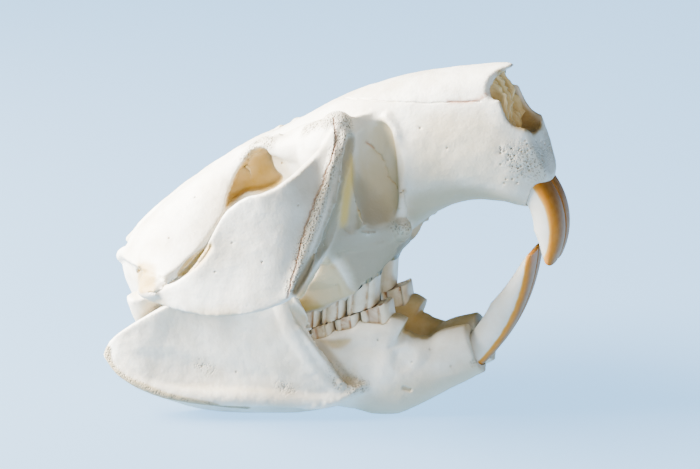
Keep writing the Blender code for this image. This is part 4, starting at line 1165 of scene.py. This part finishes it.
def carve_jaw(bone):
    carving = Carving(bone)
    carving.swell(carving.inside(ANGLE_HOLLOW, 18), -0.7)
    carving.swell(carving.inside(BODY_HOLLOW, 9), -0.45)
    carving.swell(carving.inside(ROW_NOTCH, 6), -0.5)
    for line, width, height in ((JAW_GROOVE, 2.2, -0.5), (TOOTH_BUTTRESS, 3.4, 0.35),
                                (ANGLE_RIM, 1.3, 0.2), (jagged(JAW_TUBERCLE, 1.6, 5), 1.2, 0.6),
                                (jagged(LOBE_RIM, 1.6, 6), 1.2, 0.3), (SOCKET_RIM, 1.2, -0.3)):
        carving.push(carving.seen(line), width, height)
    carving.write()
    carving.read()
    holes, pores = carving.seen(CHIN_HOLE), seen_dots(carving, JAW_PORES)
    carving.refine(holes + pores, 1.4)
    carving.push(holes, 0.9, -0.9)
    carving.push(pores, 0.45, -0.4)
    carving.write()
    thin_out(bone, JAW_TRIANGLES)
    carving = Carving(bone)
    # the chin hole and pores painted dark: painted shade inside the holes
    carving.paint("dark", holes, 0.7, 0.7, soft=1.3)
    carving.paint("dark", pores, 0.42, 0.6, soft=1.4)
    # painted shade along the angle's rim and in the groove; the rough marks are the bone's own
    for name, line, width, strength, soft in (
            ("rough", ANGLE_RIM, 1.7, 0.8, 1.6), ("recess_stain_and_shade", ANGLE_RIM, 1.6, 0.9, 1.6),
            ("painted_shade", ANGLE_RIM, 1.3, 0.6, 1.6), ("painted_shade", JAW_GROOVE[1:], 2.4, 0.5, 1.6),
            ("rough", JAW_TUBERCLE, 3, 0.9, 1.4), ("rough", SOCKET_RIM, 1.6, 0.6, 1.4)):
        carving.paint(name, carving.seen(line), width, strength, soft)
    carving.paint("rough", seen_dots(carving, GREY_SPOTS), 3.2, 0.6)
    # painted shade in the notch of the tooth row, and a warm painted shade over the chin's side; the
    # grey patch is rough bone
    for name, outline, soft, strength, rounds in (
            ("rough", GREY_PATCH, 8, 0.45, 3), ("recess_stain_and_shade", ROW_NOTCH, 3, 0.7, 2),
            ("painted_warm_shade", CHIN_SIDE, 16, 0.6, 4), ("painted_shade", CHIN_SIDE, 16, 0.2, 4)):
        carving.tint(name, carving.inside(outline, soft), strength, rounds)
    # painted shade on the far half's inner face, turned from the light; its tan is also the stain of
    # that face
    carving.tint("recess_stain_and_shade", carving.inside(INNER_FACE, 9, sides=(-1,)), 0.85)
    shade_recesses(carving)


def other_side(bone, name):
    """A mirrored copy with its own mesh."""
    pick(bone)
    bpy.ops.object.duplicate()
    made = bpy.context.object
    made.name = made.data.name = name
    made.data.transform(Matrix.Diagonal((1, -1, 1, 1)))
    made.data.flip_normals()
    return made


SCROLL_PLACES = (-6.6, -4.6, -2.4, 2.4, 4.6, 6.6)
SCROLL_ROWS, SCROLL_RIBS = 28, 14
SCROLL_BACK, SCROLL_FRONT = 48, 66.2
SCROLL_FLOOR, SCROLL_HEIGHT = 30, 20.2
SCROLL_THICKNESS = 0.45 * MM
SCROLL_RAGS = 0.45


def nose_scrolls():
    """The thin wavy plates inside the nose, with ragged front edges."""
    draws = np.random.default_rng(11)
    made = []
    for out in SCROLL_PLACES:
        clear_selection()
        bpy.ops.mesh.primitive_grid_add(x_subdivisions=SCROLL_RIBS, y_subdivisions=SCROLL_ROWS, size=1)
        sheet = bpy.context.object
        ragged = np.cumsum(draws.normal(0, SCROLL_RAGS, SCROLL_ROWS + 1))
        ragged -= np.linspace(ragged[0], ragged[-1], len(ragged))
        phase = draws.uniform(0, 6)
        front = SCROLL_FRONT - 0.35 * abs(out)
        for v in sheet.data.vertices:
            along, up = v.co.x + 0.5, v.co.y + 0.5
            end = front + ragged[round(up * SCROLL_ROWS)]
            x = SCROLL_BACK + (end - SCROLL_BACK) * along
            z = SCROLL_FLOOR + SCROLL_HEIGHT * up - 0.22 * (x - 60) * up
            y = out + 0.75 * math.sin(phase + 9 * up) * along + 0.4 * math.sin(phase + 0.9 * x)
            v.co = UPPER @ Vector((x, y, z))
        add_modifier(sheet, "SOLIDIFY", thickness=SCROLL_THICKNESS, offset=0)
        made.append(sheet)
    return join(made, "nose_scrolls")


RECESS_RAYS = 14
RECESS_REACH = 14 * MM
RECESS_LIFT = 0.4 * MM
RECESS_STEP = 3  # one point in three is looked at
RECESS_ROUNDS = 6


def shade_recesses(carving):
    """Marks how shut in each place is, by rays sent out all round it, and paints the
    shut-in places with shade: the more shut in, the darker and warmer.
    """
    draws = np.random.default_rng(3)
    rays = draws.normal(size=(RECESS_RAYS, 3))
    rays /= np.linalg.norm(rays, axis=1)[:, None]
    points, facing = carving.points, carving.facing
    shut = np.zeros(len(points), np.float32)
    chosen = np.arange(0, len(points), RECESS_STEP)
    cast = carving.tree.ray_cast
    starts = points + facing * RECESS_LIFT
    for i in chosen:
        start = Vector(starts[i])
        out = facing[i]
        for ray in rays:
            way = ray if ray @ out > 0 else -ray
            if cast(start, Vector(way), RECESS_REACH)[0] is not None:
                shut[i] += 1 / RECESS_RAYS
    known = np.zeros(len(points), np.float32)
    known[chosen] = 1
    known = np.maximum(carving.blur(known, RECESS_ROUNDS), 0.05)
    shut = carving.blur(shut, RECESS_ROUNDS) / known
    # the more shut in, the more painted shade: the tan of the hollows (stain and shade) and the warm
    # shade
    for name, least, span, strength in (("recess_stain_and_shade", 0.6, 0.4, 0.8), ("painted_warm_shade", 0.2, 0.5, 0.9)):
        shares = np.clip((shut - least) / span, 0, 1)
        carving.tint(name, shares.astype(np.float32), strength, rounds=0)


BONE = bone_finish()
SCROLL_BONE = scroll_finish()

cranium = shape_cranium()
carve_cranium(cranium)
jaw_right = shape_jaw(-1, "right")
carve_jaw(jaw_right)
jaw_left = other_side(jaw_right, "jaw_bone_left")
CRANIUM_NODES = ("cranium", "snout", "cheekbone_right", "cheekbone_left")
for piece, nodes in ((cranium, CRANIUM_NODES), (jaw_right, ("mandible_right",)),
                     (jaw_left, ("mandible_left",)), (nose_scrolls(), ())):
    piece.data.materials.clear()
    piece.data.materials.append(BONE if nodes else SCROLL_BONE)
    piece.data.shade_smooth()
    piece.data.calc_loop_triangles()
    print(piece.name, len(piece.data.loop_triangles), "triangles")
    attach(piece, "root")
    if nodes:
        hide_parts(*nodes)

UPPER_BITE = enamel_finish("upper_incisor_enamel", UPPER_ENAMEL)
LOWER_BITE = enamel_finish("lower_incisor_enamel", LOWER_ENAMEL)
IVORY = ivory_finish()


TOOTH_EDGE = math.radians(50)
FLOOR_SIZE = 6


def set_tooth(piece, node, finish):
    piece.data.materials.append(finish)
    pick(piece)
    bpy.ops.object.shade_smooth_by_angle(angle=TOOTH_EDGE)
    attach(piece, "root")
    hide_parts(node)


for side, word in ((1, "left"), (-1, "right")):
    for kind, shape, place, finish in (("upper", UPPER_INCISOR, UPPER, UPPER_BITE),
                                       ("lower", LOWER_INCISOR, LOWER, LOWER_BITE)):
        tooth = incisor(f"{kind}_gnawing_tooth_{word}", shape, side, place)
        set_tooth(tooth, f"{kind}_incisor_{word}", finish)
        for tooth in tooth_row(kind, side):
            set_tooth(tooth, tooth.name.replace("_crown", ""), IVORY)


def add_floor():
    """Pale paper, so wide that its edges are out of the picture."""
    clear_selection()
    bpy.ops.mesh.primitive_plane_add(size=FLOOR_SIZE)
    floor = bpy.context.object
    floor.name = "floor"
    made = bpy.data.materials.new("pale_paper")
    made.use_nodes = True
    paper = made.node_tree.nodes["Principled BSDF"].inputs
    paper["Base Color"].default_value = (0.05, 0.07, 0.09, 1)
    paper["Roughness"].default_value = 0.9
    paper["Emission Color"].default_value = (0.54, 1.14, 1.88, 1)
    paper["Emission Strength"].default_value = 1.25
    floor.data.materials.append(made)


def add_light(name, place, aim, size, watts, colour):
    bpy.ops.object.light_add(type="AREA", location=place,
                             rotation=(Vector(aim) - Vector(place)).to_track_quat("-Z", "Y").to_euler())
    lamp = bpy.context.object
    lamp.name = name
    lamp.data.size = size
    lamp.data.energy = watts
    lamp.data.color = colour


add_floor()
add_light("key", (-0.6, -0.17, 0.43), (0, 0, 0.04), 0.5, 104, (1, 0.98, 0.935))
add_light("fill", (0.5, -0.75, 0.28), (0.02, 0, 0.04), 0.6, 4.5, (1, 0.84, 0.6))
world = bpy.data.worlds.new("pale_room")
world.use_nodes = True
world.node_tree.nodes["Background"].inputs["Color"].default_value = (0.72, 0.8, 0.9, 1)
world.node_tree.nodes["Background"].inputs["Strength"].default_value = 0.06
bpy.context.scene.world = world
